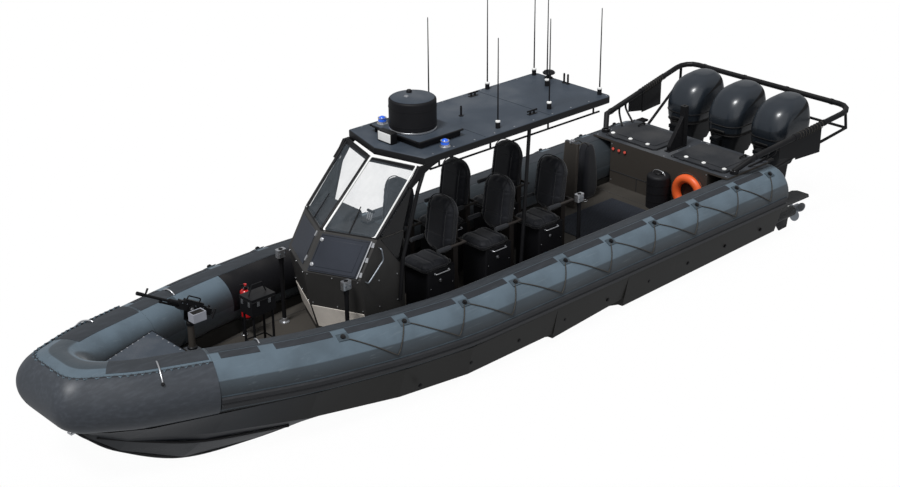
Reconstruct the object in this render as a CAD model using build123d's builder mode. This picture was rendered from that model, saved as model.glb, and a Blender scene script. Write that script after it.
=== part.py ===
"""Rigid-hulled inflatable boat with a canopied shield console and three outboard engines."""
import os
from math import cos, hypot, radians, sin

from build123d import *

os.makedirs("parts", exist_ok=True)

# Frame: X to the bow, Y to port, Z up, origin amidships at the waterline. Millimetres.
SIDES = (("port", 1), ("starboard", -1))
FIT = 1.0  # gap round a tube or pipe that lies in a cradle
RUN = 6.0  # gap beside a piece that moves
PIN_PLAY = 1.0  # radial play of a pin in its bore


def across(x):
    """Upright plane across the boat: local x is Y, local y is Z."""
    return Plane(origin=(x, 0, 0), x_dir=(0, 1, 0), z_dir=(1, 0, 0))


def along(y):
    """Upright plane along the boat: local x is X, local y is Z, facing starboard."""
    return Plane(origin=(0, y, 0), x_dir=(1, 0, 0), z_dir=(0, -1, 0))


def facing(start, end):
    """Plane at start that looks towards end."""
    return Plane(origin=start, z_dir=Vector(*end) - Vector(*start))


def blend(a, b, t):
    """Point a share t of the way from a to b."""
    return tuple(p + (q - p) * t for p, q in zip(a, b))


# Levels and stations
DECK_Z = 340.0
DECK_T = 20.0
TRANSOM_X = -4830.0

# Buoyancy tubes: centre line of the port side from the stern to the bow corner
TUBE_R = 320.0
TUBE_Y = 1130.0
TUBE_Z = 600.0
STERN_X = -4890.0
TUBE_LINE = (
    (STERN_X, TUBE_Y, TUBE_Z),
    (600.0, TUBE_Y, TUBE_Z),
    (1500.0, 1075.0, 655.0),
    (2500.0, 915.0, 715.0),
    (4080.0, 470.0, 830.0),
    (4540.0, 240.0, 880.0),
)
SEAM_SHARE = 0.57
SEAM = blend(TUBE_LINE[3], TUBE_LINE[4], SEAM_SHARE)
TUBE_END_ROUND = 70.0
SEAM_GAP = 4.0
COVER_T = 12.0


def side_line(side):
    """Centre line of one side tube, stern to bow seam."""
    stop = blend(TUBE_LINE[3], TUBE_LINE[4], SEAM_SHARE - SEAM_GAP / 1650)
    return [(x, side * y, z) for x, y, z in TUBE_LINE[:4] + (stop,)]


def bow_line():
    """Centre line of the bow tube, port seam to starboard seam."""
    port = (SEAM, TUBE_LINE[4], TUBE_LINE[5])
    return list(port) + [(x, -y, z) for x, y, z in reversed(port)]


# Hull: stations from aft to forward, one row of stations for each stepped run
KEEL_HALF = 35.0
CHINE_FLAT = 0.055
CRADLE_STEPS = 4
DECK_UNDER = DECK_Z - DECK_T
COAMING = 36.0
BOW_FLOOR_X = 3400.0
HULL_COLUMNS = ("x", "keel_z", "chine_y", "chine_z", "wrap_deg", "gap")
HULL_RUNS = (
    ((TRANSOM_X, -560, 1215, 40, 52, FIT), (-1880, -600, 1235, -10, 52, FIT)),
    ((-1880, -520, 1235, 90, 52, FIT), (-700, -600, 1235, -5, 52, FIT)),
    (
        (-700, -545, 1235, 55, 52, FIT),
        (600, -600, 1235, 40, 52, 7 * FIT),
        (1500, -575, 1165, 85, 52, 8 * FIT),
        (2500, -505, 960, 150, 52, 8 * FIT),
        (3380, -355, 620, 190, 46, 22),
        (4080, 20, 215, 230, 34, 28),
        (4400, 293, 60, 335, 20, 36),
        (4535, 444, 40, 470, 12, 36),
    ),
)


def tube_at(x):
    """Centre height and half-breadth of the port tube at a station, and its stretch across."""
    for start, end in zip(TUBE_LINE, TUBE_LINE[1:]):
        if x <= end[0] or end is TUBE_LINE[-1]:
            share = (x - start[0]) / (end[0] - start[0])
            _, y, z = blend(start, end, share)
            stretch = hypot(end[0] - start[0], end[1] - start[1]) / (end[0] - start[0])
            return y, z, stretch


def cradle(x, wrap, gap):
    """Straight-sided trough under the port tube, from its outer lip to its inner lip."""
    y, z, stretch = tube_at(x)
    radius = TUBE_R + gap
    half = wrap / CRADLE_STEPS
    angles = [wrap] + [wrap - half * (2 * i + 1) for i in range(CRADLE_STEPS)] + [-wrap]
    reach = [radius] + [radius / cos(radians(half))] * CRADLE_STEPS + [radius]
    return [(y + stretch * r * sin(radians(a)), z - r * cos(radians(a))) for a, r in zip(angles, reach)]


def hull_section(x, keel_z, chine_y, chine_z, wrap, gap):
    """Closed outline of the hull at one station."""
    trough = cradle(x, wrap, gap)
    inner_y = max(trough[-1][0] - COAMING, 20)
    half = [(KEEL_HALF, keel_z), (chine_y, chine_z), (chine_y * (1 + CHINE_FLAT), chine_z + 6)]
    floor_z = DECK_UNDER if x <= BOW_FLOOR_X else trough[-1][1] - 3
    half += trough + [(inner_y, trough[-1][1]), (inner_y, floor_z)]
    return half + [(-y, z) for y, z in reversed(half)]


with BuildPart() as hull:
    for run in HULL_RUNS:
        for x, keel_z, chine_y, chine_z, wrap, gap in run:
            with BuildSketch(across(x)):
                with BuildLine():
                    Polyline(*hull_section(x, keel_z, chine_y, chine_z, wrap, gap), close=True)
                make_face()
        loft(ruled=True)


def keep(piece, label):
    """Name a finished piece and write its file."""
    piece.label = label
    export_step(piece, f"parts/{label}.step")


keep(hull.part, "hull")

# Deck plate on the hull, between the coamings
DECK_EDGE = 4.0
DECK_STATIONS = (TRANSOM_X, 600.0, 1500.0, 2500.0, 3340.0)


def coaming_y(x):
    """Half-breadth between the coamings at a station."""
    wrap, gap = (52, 8 * FIT) if x < 2600 else (46, 22)
    return cradle(x, wrap, gap)[-1][0] - COAMING


with BuildPart() as deck:
    with BuildSketch(Plane.XY.offset(DECK_UNDER)):
        with BuildLine():
            inner = [(x, coaming_y(x) - DECK_EDGE) for x in DECK_STATIONS]
            Polyline(*inner, *[(x, -y) for x, y in reversed(inner)], close=True)
        make_face()
    extrude(amount=DECK_T)
keep(deck.part, "deck")

# Side tubes with rounded stern ends
for name, side in SIDES:
    line = side_line(side)
    with BuildPart() as tube:
        with BuildLine() as tube_path:
            Polyline(*line)
        with BuildSketch(facing(line[0], line[1])):
            Circle(TUBE_R)
        sweep(path=tube_path.line, transition=Transition.RIGHT)
        fillet(tube.faces().sort_by(Axis.X)[0].edges(), TUBE_END_ROUND)
    keep(tube.part, f"tube_{name}")

# Covered tube across the bow
with BuildPart() as tube_bow:
    line = bow_line()
    with BuildLine() as tube_path:
        Polyline(*line)
    with BuildSketch(facing(line[0], line[1])):
        Circle(TUBE_R + COVER_T)
    sweep(path=tube_path.line, transition=Transition.RIGHT)
keep(tube_bow.part, "tube_bow")

# Rub strakes along the outer side of each tube
STRAKE_LOW = -30.0
STRAKE_HIGH = -6.0
STRAKE_T = 22.0
STRAKE_START = 80.0
with BuildPart() as rub_strakes:
    for name, side in SIDES:
        line = side_line(side)
        line[0] = (STERN_X + STRAKE_START, line[0][1], line[0][2])
        inner_r = TUBE_R + FIT
        outer_r = TUBE_R + STRAKE_T
        spots = []
        for angle in (STRAKE_LOW, (STRAKE_LOW + STRAKE_HIGH) / 2, STRAKE_HIGH):
            c, s = cos(radians(angle)), sin(radians(angle))
            spots.append([(side * (TUBE_Y + r * c), TUBE_Z + r * s) for r in (inner_r, outer_r)])
        with BuildLine() as strake_path:
            Polyline(*line)
        with BuildSketch(across(line[0][0])):
            with BuildLine():
                ThreePointArc(spots[0][0], spots[1][0], spots[2][0])
                Line(spots[2][0], spots[2][1])
                ThreePointArc(spots[2][1], spots[1][1], spots[0][1])
                Line(spots[0][1], spots[0][0])
            make_face()
        sweep(path=strake_path.line, transition=Transition.RIGHT)
keep(rub_strakes.part, "rub_strakes")

# Stern box: locker and engine bulkhead with a flange over the tubes and two wells under lids
BOX_FRONT_X = -4000.0
BOX_TOP_Z = 950.0
BOX_GAP = 10.0
BOX_HALF = TUBE_Y - TUBE_R - BOX_GAP
FLANGE_HALF = TUBE_Y - 20.0
FLANGE_T = 25.0
LID_INNER_Y = 130.0
LID_MARGIN = 90.0
LID_OUTER_Y = FLANGE_HALF - 130.0
LID_FRONT_X = BOX_FRONT_X - LID_MARGIN
LID_BACK_X = TRANSOM_X + LID_MARGIN
LID_T = 18.0
LID_ROUND = 90.0
WELL_IN = 60.0
WELL_OUTER_Y = BOX_HALF - 55.0
WELL_DEPTH = 480.0
LID_X = (LID_FRONT_X + LID_BACK_X) / 2
LID_LENGTH = LID_FRONT_X - LID_BACK_X
LID_WIDTH = LID_OUTER_Y - LID_INNER_Y
LID_Y = (LID_OUTER_Y + LID_INNER_Y) / 2
LID_SEAT = 1.0
HINGE_R = 10.0
HINGE_W = 80.0
HINGE_APART = 240.0
HINGE_X = LID_FRONT_X + HINGE_R + 2
HINGE_Z = BOX_TOP_Z + LID_SEAT + HINGE_R
with BuildPart() as stern_box:
    with BuildSketch(across(TRANSOM_X)):
        with BuildLine():
            half = [
                (BOX_HALF, DECK_Z),
                (BOX_HALF, BOX_TOP_Z - FLANGE_T),
                (FLANGE_HALF, BOX_TOP_Z - FLANGE_T),
                (FLANGE_HALF, BOX_TOP_Z),
            ]
            Polyline(*half, *[(-y, z) for y, z in reversed(half)], close=True)
        make_face()
    extrude(amount=BOX_FRONT_X - TRANSOM_X)
    well_width = WELL_OUTER_Y - LID_INNER_Y - WELL_IN
    well_y = (WELL_OUTER_Y + LID_INNER_Y + WELL_IN) / 2
    with BuildSketch(Plane.XY.offset(BOX_TOP_Z)):
        with Locations((LID_X, well_y), (LID_X, -well_y)):
            RectangleRounded(LID_LENGTH - 2 * WELL_IN, well_width, 40)
    extrude(amount=-WELL_DEPTH, mode=Mode.SUBTRACT)
keep(stern_box.part, "stern_box")

for name, side in SIDES:
    with BuildPart() as lid:
        with BuildSketch(Plane.XY.offset(BOX_TOP_Z + LID_SEAT)):
            with Locations((LID_X, side * LID_Y)):
                RectangleRounded(LID_LENGTH, LID_WIDTH, LID_ROUND)
        extrude(amount=LID_T)
        fillet(lid.faces().sort_by(Axis.Z)[-1].edges(), 5)
        for y in (side * LID_Y - HINGE_APART, side * LID_Y + HINGE_APART):
            with Locations((HINGE_X, y, HINGE_Z)):
                Cylinder(HINGE_R, HINGE_W, rotation=(90, 0, 0))
                Box(HINGE_X - LID_FRONT_X + 12, HINGE_W, 8, align=(Align.MAX, Align.CENTER, Align.CENTER))
    keep(lid.part, f"lid_{name}")

# Gusseted pintle post on the stern box
POST_FRONT_X = -4170.0
POST_X = -4490.0
POST_HALF = 38.0
POST_TOP_Z = 1500.0
PINTLE_R = 16.0
PINTLE_DEEP = 120.0
GUSSET_T = 24.0
with BuildPart() as stern_post:
    with BuildSketch(Plane.XY.offset(BOX_TOP_Z)):
        with Locations(((POST_FRONT_X + POST_X - POST_HALF) / 2, 0)):
            Rectangle(POST_FRONT_X - POST_X + POST_HALF, 2 * POST_HALF)
    extrude(amount=14)
    with BuildSketch(Plane.XY.offset(BOX_TOP_Z)):
        with Locations((POST_X, 0)):
            Rectangle(2 * POST_HALF, 2 * POST_HALF)
    extrude(amount=POST_TOP_Z - BOX_TOP_Z)
    with BuildSketch(along(GUSSET_T / 2)):
        with BuildLine():
            Polyline(
                (POST_FRONT_X - 20, BOX_TOP_Z),
                (POST_FRONT_X - 70, BOX_TOP_Z),
                (POST_X, POST_TOP_Z - 260),
                (POST_X, POST_TOP_Z - 120),
                (POST_X + 70, POST_TOP_Z - 170),
                (POST_FRONT_X - 20, BOX_TOP_Z + 60),
                close=True,
            )
        make_face()
    extrude(amount=GUSSET_T)
    with Locations((POST_X, 0, POST_TOP_Z)):
        Hole(PINTLE_R, depth=PINTLE_DEEP)
keep(stern_post.part, "stern_post")

# Guard rail round the engines
RAIL_R = 36.0
BRACE_R = 19.0
RAIL_BACK_X = -6230.0
RAIL_HALF = 1390.0
RAIL_Z = 1400.0
RAIL_CORNER = 230.0
RAIL_TURNS = (0, 22.5, 45, 67.5, 90)
RAIL_FOOT = (-4190.0, 1062.0, BOX_TOP_Z + 32)
RAIL_BEND = (-4340.0, 1185.0, 1130.0)
LOWER_X = -6110.0
LOWER_HALF = 1375.0
LOWER_Z = 1150.0
BRACE_KNEE = (-4935.0, 1040.0, 770.0)
RAIL_POST_Y = 350.0
RAIL_CORNER_AT = (RAIL_BACK_X, RAIL_HALF, RAIL_Z)


def swap(point, side):
    """Point moved to the given side of the boat."""
    return (point[0], side * point[1], point[2])


def corner_points(side):
    """Points round the rail's aft corner bend, from the side to the aft bar."""
    length = (Vector(*RAIL_BEND) - Vector(*RAIL_CORNER_AT)).length
    start = blend(RAIL_CORNER_AT, RAIL_BEND, RAIL_CORNER / length)
    stop = (RAIL_BACK_X, RAIL_HALF - RAIL_CORNER, RAIL_Z)
    centre = tuple(p + q - c for p, q, c in zip(start, stop, RAIL_CORNER_AT))
    points = []
    for turn in RAIL_TURNS:
        c, s = cos(radians(turn)), sin(radians(turn))
        points.append(tuple(m + (q - m) * s + (p - m) * c for p, q, m in zip(start, stop, centre)))
    return [swap(p, side) for p in points]


def pipe(points, radius):
    """Pipe from point to point with mitred knees, added to the piece in hand."""
    with BuildLine() as path:
        Polyline(*points)
    with BuildSketch(facing(points[0], points[1])) as section:
        Circle(radius)
    sweep(section.sketch, path=path.line, transition=Transition.RIGHT)


with BuildPart() as stern_rail:
    port_half = [RAIL_FOOT, RAIL_BEND] + corner_points(1)
    pipe(port_half + [swap(p, -1) for p in reversed(port_half)], RAIL_R)
    pipe([(LOWER_X, LOWER_HALF, LOWER_Z), (LOWER_X, -LOWER_HALF, LOWER_Z)], BRACE_R - 1)
    for name, side in SIDES:
        with Locations((RAIL_FOOT[0], side * RAIL_FOOT[1], BOX_TOP_Z)):
            Cylinder(RAIL_R + 18, 40, align=(Align.CENTER, Align.CENTER, Align.MIN))
        low = (LOWER_X, side * LOWER_HALF, LOWER_Z)
        knee = swap(BRACE_KNEE, side)
        pipe([corner_points(side)[1], low, knee, (knee[0], knee[1], BOX_TOP_Z - 6)], BRACE_R)
        plate_x = (TRANSOM_X + knee[0] - 35) / 2
        with Locations((plate_x, knee[1], BOX_TOP_Z - FLANGE_T / 2)):
            Box(TRANSOM_X - knee[0] + 35, 110, FLANGE_T)
        post_y = side * RAIL_POST_Y
        pipe([(LOWER_X, post_y, LOWER_Z), (RAIL_BACK_X, post_y, RAIL_Z)], BRACE_R - 2)
keep(stern_rail.part, "stern_rail")

# Plates hung from the guard rail's sides
RAIL_PLATE_T = 8.0
RAIL_PLATE_FRONT = 0.44
RAIL_PLATE_BACK = 0.68
RAIL_PLATE_Z = 930.0
with BuildPart() as rail_plates:
    for name, side in SIDES:
        front = blend(RAIL_BEND, RAIL_CORNER_AT, RAIL_PLATE_FRONT)
        back = blend(RAIL_BEND, RAIL_CORNER_AT, RAIL_PLATE_BACK)
        front = (front[0], side * front[1], front[2] - RAIL_R - FIT)
        back = (back[0], side * back[1], back[2] - RAIL_R - FIT)
        run = Vector(back[0] - front[0], back[1] - front[1], 0)
        with BuildSketch(Plane(origin=front, x_dir=run, z_dir=run.cross(Vector(0, 0, 1)))):
            with BuildLine():
                drop = front[2] - RAIL_PLATE_Z
                plate = [(0, 0), (run.length, back[2] - front[2]), (run.length, -drop), (0, -drop)]
                Polyline(*plate, close=True)
            make_face()
        extrude(amount=RAIL_PLATE_T / 2, both=True)
keep(rail_plates.part, "rail_plates")

# Shield console: a ridged shell, open aft
CONSOLE_HALF = 600.0
CONSOLE_SWEEP = 269.0
CONSOLE_BACK_X = 850.0
CONSOLE_WALL = 30.0
CONSOLE_COLUMNS = ("z", "ridge_x")
CONSOLE_LEVELS = ((DECK_Z, 1530.0), (480.0, 1570.0), (775.0, 1655.0), (1175.0, 1724.0), (1565.0, 1479.0))
SILL_Z, SILL_X = CONSOLE_LEVELS[4]
NOSE_Z, NOSE_X = CONSOLE_LEVELS[3]


def shield(ridge_x, half, back_x):
    """Plan outline of the console at one level."""
    corner_x = ridge_x - CONSOLE_SWEEP * half / CONSOLE_HALF
    return [(ridge_x, 0), (corner_x, half), (back_x, half), (back_x, -half), (corner_x, -half)]


HATCH_NEAR = 0.07
HATCH_FAR = 0.93
HATCH_LOW = 0.04
HATCH_HIGH = 0.94
HATCH_FRAME = 45.0
HATCH_T = 16.0
HATCH_HINGE_R = 9.0
FACET_RIGHT = Vector(-CONSOLE_SWEEP, CONSOLE_HALF, 0)
FACET_UP = Vector(SILL_X - NOSE_X, 0, SILL_Z - NOSE_Z)
FACET = Plane(origin=(NOSE_X, 0, NOSE_Z), x_dir=FACET_RIGHT, z_dir=FACET_RIGHT.cross(FACET_UP))


def on_facet(share_right, share_up):
    """Point on the port facet of the console, in the facet's own plane."""
    point = FACET.to_local_coords(FACET.origin + FACET_RIGHT * share_right + FACET_UP * share_up)
    return (point.X, point.Y)


HATCH_CORNERS = [
    on_facet(HATCH_NEAR, HATCH_LOW),
    on_facet(HATCH_FAR, HATCH_LOW),
    on_facet(HATCH_FAR, HATCH_HIGH),
    on_facet(HATCH_NEAR, HATCH_HIGH),
]
with BuildPart() as console:
    for z, ridge_x in CONSOLE_LEVELS:
        with BuildSketch(Plane.XY.offset(z)):
            with BuildLine():
                Polyline(*shield(ridge_x, CONSOLE_HALF, CONSOLE_BACK_X), close=True)
            make_face()
    loft(ruled=True)
    for z, ridge_x in CONSOLE_LEVELS:
        with BuildSketch(Plane.XY.offset(z)):
            inside = shield(ridge_x - CONSOLE_WALL - 6, CONSOLE_HALF - CONSOLE_WALL, CONSOLE_BACK_X - 50)
            with BuildLine():
                Polyline(*inside, close=True)
            make_face()
    loft(ruled=True, mode=Mode.SUBTRACT)
    with BuildSketch(FACET):
        with BuildLine():
            Polyline(*HATCH_CORNERS, close=True)
        make_face()
        offset(amount=-HATCH_FRAME, kind=Kind.INTERSECTION, mode=Mode.REPLACE)
    extrude(amount=-80, mode=Mode.SUBTRACT)
keep(console.part, "console")

with BuildPart() as console_hatch:
    with BuildSketch(FACET.offset(1)):
        with BuildLine():
            Polyline(*HATCH_CORNERS, close=True)
        make_face()
    extrude(amount=HATCH_T)
    hinge_edge = FACET.origin + FACET_RIGHT * HATCH_FAR + FACET.z_dir * (1 + HATCH_T)
    pipe([tuple(hinge_edge + FACET_UP * share) for share in (HATCH_LOW, HATCH_HIGH)], HATCH_HINGE_R)
keep(console_hatch.part, "console_hatch")

# Hardtop: ridged front edge like the screen below it
ROOF_T = 80.0
ROOF_TOP_Z = 2290.0
ROOF_LOW_Z = ROOF_TOP_Z - ROOF_T
ROOF_HALF = 616.0
ROOF_FRONT_X = 715.0
ROOF_CORNER_X = 550.0
ROOF_BACK_X = -2355.0
with BuildPart() as hardtop:
    with BuildSketch(Plane.XY.offset(ROOF_LOW_Z)):
        with BuildLine():
            half = [(ROOF_FRONT_X, 0), (ROOF_CORNER_X, ROOF_HALF), (ROOF_BACK_X, ROOF_HALF)]
            Polyline(*half, *[(x, -y) for x, y in reversed(half[1:])], close=True)
        make_face()
        fillet(vertices().sort_by(Axis.X)[:2], 70)
    extrude(amount=ROOF_T)
    fillet(hardtop.faces().sort_by(Axis.Z)[-1].edges(), 18)
keep(hardtop.part, "hardtop")

# Windscreen posts and panes between console sill and hardtop
SCREEN_POST_R = 17.0
PANE_T = 8.0
PANE_INSET = 24.0
SILL_CORNER_X = SILL_X - CONSOLE_SWEEP
POST_BACK = 18.0
SCREEN_TOP_X = 772.0
SCREEN_TOP_CORNER_X = 596.0
SCREEN_TOP_Z = ROOF_LOW_Z - 1
SCREEN_Y = CONSOLE_HALF - 15
with BuildPart() as screen_posts:
    pipe([(SILL_X - POST_BACK, 0, SILL_Z + 13), (SCREEN_TOP_X, 0, SCREEN_TOP_Z - 12)], SCREEN_POST_R)
    for name, side in SIDES:
        low = (SILL_CORNER_X - POST_BACK, side * SCREEN_Y, SILL_Z + 13)
        pipe([low, (SCREEN_TOP_CORNER_X, side * SCREEN_Y, SCREEN_TOP_Z - 12)], SCREEN_POST_R)
keep(screen_posts.part, "screen_posts")

with BuildPart() as screen_panes:
    for name, side in SIDES:
        for z, ridge_x, corner_x in (
            (SILL_Z + 1, SILL_X - POST_BACK, SILL_CORNER_X - POST_BACK),
            (SCREEN_TOP_Z, SCREEN_TOP_X, SCREEN_TOP_CORNER_X),
        ):
            near = PANE_INSET / SCREEN_Y
            slope = corner_x - ridge_x
            x_near = ridge_x + slope * near
            x_far = corner_x - slope * near
            y_near = side * PANE_INSET
            y_far = side * (SCREEN_Y - PANE_INSET)
            with BuildSketch(Plane.XY.offset(z)):
                with BuildLine():
                    outer = [(x_near, y_near), (x_far, y_far)]
                    Polyline(*outer, *[(x - PANE_T, y) for x, y in reversed(outer)], close=True)
                make_face()
        loft(ruled=True)
        with BuildSketch(along(side * SCREEN_Y)):
            with BuildLine():
                Polyline((1150, SILL_Z + 2), (835, SILL_Z + 2), (735, 1925), (700, 2050), close=True)
            make_face()
        extrude(amount=PANE_T / 2, both=True)
keep(screen_panes.part, "screen_panes")

# Dash with the helm bore
DASH_BACK_X = 870.0
WHEEL_Y = -360.0
WHEEL_Z = 1300.0
WHEEL_X = 790.0
WHEEL_R = 170.0
WHEEL_RIM = 14.0
WHEEL_RAKE = 22.0
SHAFT_R = 18.0
WHEEL_AXIS = Vector(cos(radians(WHEEL_RAKE)), 0, -sin(radians(WHEEL_RAKE)))
WHEEL_PLANE = Plane(origin=(WHEEL_X, WHEEL_Y, WHEEL_Z), x_dir=(0, 1, 0), z_dir=WHEEL_AXIS)
with BuildPart() as dash:
    with BuildSketch(along(0)):
        with BuildLine():
            face = [(DASH_BACK_X, 1060), (DASH_BACK_X, 1300), (960, 1480), (1180, 1530), (1180, 1060)]
            Polyline(*face, close=True)
        make_face()
    extrude(amount=CONSOLE_HALF - CONSOLE_WALL - 1, both=True)
    with BuildSketch(WHEEL_PLANE):
        Circle(SHAFT_R + PIN_PLAY)
    extrude(amount=180, mode=Mode.SUBTRACT)
keep(dash.part, "dash")

with BuildPart(WHEEL_PLANE) as helm_wheel:
    Torus(WHEEL_R, WHEEL_RIM)
    Cylinder(38, 30)
    with PolarLocations(WHEEL_R / 2, 3, start_angle=90):
        Box(WHEEL_R - 6, 26, 12)
    Cylinder(SHAFT_R, 165, align=(Align.CENTER, Align.CENTER, Align.MIN))
keep(helm_wheel.part, "helm_wheel")

# Roof posts and hand rails under the hardtop
POST_END = 13.0
MID_POST = ((-1020.0, 590.0, ROOF_LOW_Z - 3), (-845.0, 640.0, DECK_Z + 3))
FRONT_POST = (
    (935.0, 624.0, 800.0),
    (885.0, 624.0, 1265.0),
    (665.0, 626.0, 1960.0),
    (520.0, 590.0, ROOF_LOW_Z - POST_END),
)
ROOF_POST_R = 21.0
HAND_RAIL_R = 11.0
HAND_RAIL_Y = 560.0
HAND_RAIL_Z = 2120.0
HAND_RAIL_FRONT_X = 430.0
HAND_RAIL_BACK_X = -2200.0
HANGER_X = (300.0, -450.0, -1350.0, -2100.0)
with BuildPart() as roof_posts:
    for name, side in SIDES:
        for line in (MID_POST, FRONT_POST):
            pipe([swap(p, side) for p in line], ROOF_POST_R)
        rail_y = side * HAND_RAIL_Y
        pipe([(HAND_RAIL_FRONT_X, rail_y, HAND_RAIL_Z), (HAND_RAIL_BACK_X, rail_y, HAND_RAIL_Z)], HAND_RAIL_R)
        for x in HANGER_X:
            pipe([(x, rail_y, HAND_RAIL_Z), (x, rail_y, ROOF_LOW_Z)], HAND_RAIL_R)
keep(roof_posts.part, "roof_posts")

# Radar drum on a raised platform, beacons and whips
PLATFORM_Z = 2352.0
PLATFORM_T = 20.0
PLATFORM_FRONT_X = 430.0
PLATFORM_BACK_X = -200.0
PLATFORM_HALF = 395.0
DRUM_X = 165.0
DRUM_R = 258.0
DRUM_H = 345.0
BEACON_R = 45.0
BEACON_H = 66.0
with BuildPart() as radar_platform:
    middle_x = (PLATFORM_FRONT_X + PLATFORM_BACK_X) / 2
    with BuildSketch(Plane.XY.offset(PLATFORM_Z)):
        with Locations((middle_x, 0)):
            RectangleRounded(PLATFORM_FRONT_X - PLATFORM_BACK_X, 2 * PLATFORM_HALF, 40)
    extrude(amount=PLATFORM_T)
    with BuildSketch(Plane.XY.offset(ROOF_TOP_Z)):
        with Locations((middle_x, 0)):
            with GridLocations(PLATFORM_FRONT_X - PLATFORM_BACK_X - 90, 2 * PLATFORM_HALF - 90, 2, 2):
                Circle(16)
            Rectangle(440, 540)
    extrude(amount=PLATFORM_Z - ROOF_TOP_Z)
keep(radar_platform.part, "radar_platform")

with BuildPart() as radar_drum:
    with BuildSketch(Plane.XY.offset(PLATFORM_Z + PLATFORM_T)):
        with Locations((DRUM_X, 0)):
            Circle(DRUM_R - 14)
    extrude(amount=28)
    with BuildSketch(Plane.XY.offset(PLATFORM_Z + PLATFORM_T + 28)):
        with Locations((DRUM_X, 0)):
            Circle(DRUM_R)
    extrude(amount=DRUM_H - 28)
    fillet(radar_drum.faces().sort_by(Axis.Z)[-1].edges(), 26)
keep(radar_drum.part, "radar_drum")

BEACON_COLUMNS = ("x", "y", "z")
BEACONS = ((318.0, -325.0, PLATFORM_Z + PLATFORM_T), (165.0, 506.0, ROOF_TOP_Z))
with BuildPart() as beacons:
    for x, y, z in BEACONS:
        with Locations((x, y, z)):
            Cylinder(BEACON_R, BEACON_H, align=(Align.CENTER, Align.CENTER, Align.MIN))
        with Locations((x, y, z + BEACON_H)):
            Sphere(BEACON_R, arc_size1=0)
keep(beacons.part, "beacons")

WHIP_COLUMNS = ("x", "y", "height")
WHIPS = (
    (-520.0, -500.0, 1060.0),
    (-1490.0, -555.0, 1090.0),
    (-640.0, 482.0, 1010.0),
    (-2260.0, -545.0, 1090.0),
    (-2070.0, -150.0, 1110.0),
    (-1495.0, 434.0, 1040.0),
    (-2275.0, 490.0, 1020.0),
)
with BuildPart() as whips:
    for x, y, height in WHIPS:
        with Locations((x, y, ROOF_TOP_Z)):
            Cylinder(26, 70, align=(Align.CENTER, Align.CENTER, Align.MIN))
            Cone(9, 5, height, align=(Align.CENTER, Align.CENTER, Align.MIN))
keep(whips.part, "whips")

# Shock seats in two columns
SEAT_ROWS = (270.0, -600.0, -1450.0)
SEAT_Y = 360.0
SEAT_BOX = (400.0, 380.0)
SEAT_BOX_TOP = 920.0
CUSHION = (430.0, 420.0, 90.0)
CUSHION_FORWARD = 55.0
BACK_W = 400.0
BACK_H = 640.0
BACK_T = 105.0
BACK_LEAN = 8.0
BACK_X = -120.0
TOWER_T = 70.0
TOWER_W = 150.0
TOWER_TOP = 1380.0
ARM_R = 16.0
ARM_Y = 218.0
ARM_Z = 1150.0
ARM_TIP = 70.0
SEAT_SPOTS = [(x, side * SEAT_Y) for x in SEAT_ROWS for name, side in SIDES]


with BuildPart() as seat_boxes:
    for x, y in SEAT_SPOTS:
        with Locations((x, y, DECK_Z)):
            Box(*SEAT_BOX, SEAT_BOX_TOP - DECK_Z, align=(Align.CENTER, Align.CENTER, Align.MIN))
    fillet(seat_boxes.edges().filter_by(Axis.Z), 18)
keep(seat_boxes.part, "seat_boxes")

with BuildPart() as seat_cushions:
    for x, y in SEAT_SPOTS:
        with Locations((x + CUSHION_FORWARD, y, SEAT_BOX_TOP + 1)):
            Box(*CUSHION, align=(Align.CENTER, Align.CENTER, Align.MIN))
    fillet(seat_cushions.edges().filter_by(Axis.Z), 60)
    fillet(seat_cushions.faces().sort_by(Axis.Z)[-6:].edges(), 28)
keep(seat_cushions.part, "seat_cushions")

with BuildPart() as seat_backs:
    for x, y in SEAT_SPOTS:
        tilt = radians(BACK_LEAN)
        foot = (x + BACK_X - BACK_T / 2, y, SEAT_BOX_TOP + 100)
        rest = Plane(origin=foot, x_dir=(0, 1, 0), z_dir=(cos(tilt), 0, sin(tilt)))
        with BuildSketch(rest):
            with Locations((0, BACK_H / 2)):
                RectangleRounded(BACK_W, BACK_H, BACK_W / 2 - 8)
        extrude(amount=BACK_T / 2, both=True)
    fillet(seat_backs.edges().filter_by(GeomType.CIRCLE).group_by(SortBy.RADIUS)[-1], 30)
keep(seat_backs.part, "seat_backs")

with BuildPart() as seat_towers:
    for x, y in SEAT_SPOTS:
        low_x = x - SEAT_BOX[0] / 2 - TOWER_T / 2 - 1
        with Locations((low_x - 79, y, DECK_Z)):
            Box(TOWER_T, TOWER_W, TOWER_TOP - DECK_Z, align=(Align.CENTER, Align.CENTER, Align.MIN))
        left = [(x + ARM_TIP, y + ARM_Y, ARM_Z), (low_x - 79, y + ARM_Y, ARM_Z)]
        right = [(px, 2 * y - py, pz) for px, py, pz in reversed(left)]
        pipe(left + right, ARM_R)
keep(seat_towers.part, "seat_towers")

# Clamp stanchions beside the console and behind the seats
STANCHION_COLUMNS = ("x", "y")
STANCHIONS = ((1600.0, 550.0), (1600.0, -550.0), (-1848.0, 610.0), (-1848.0, -610.0))
STANCHION_R = 23.0
STANCHION_TOP = 1120.0
with BuildPart() as stanchions:
    for x, y in STANCHIONS:
        with Locations((x, y, DECK_Z)):
            Cylinder(STANCHION_R, STANCHION_TOP - DECK_Z, align=(Align.CENTER, Align.CENTER, Align.MIN))
keep(stanchions.part, "stanchions")

CLAMP_H = 90.0
with BuildPart() as stanchion_clamps:
    for x, y in STANCHIONS:
        with Locations((x, y, STANCHION_TOP + 1)):
            Box(110, 70, CLAMP_H, align=(Align.CENTER, Align.CENTER, Align.MIN))
    fillet(stanchion_clamps.edges().filter_by(Axis.Z), 20)
keep(stanchion_clamps.part, "stanchion_clamps")

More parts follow.
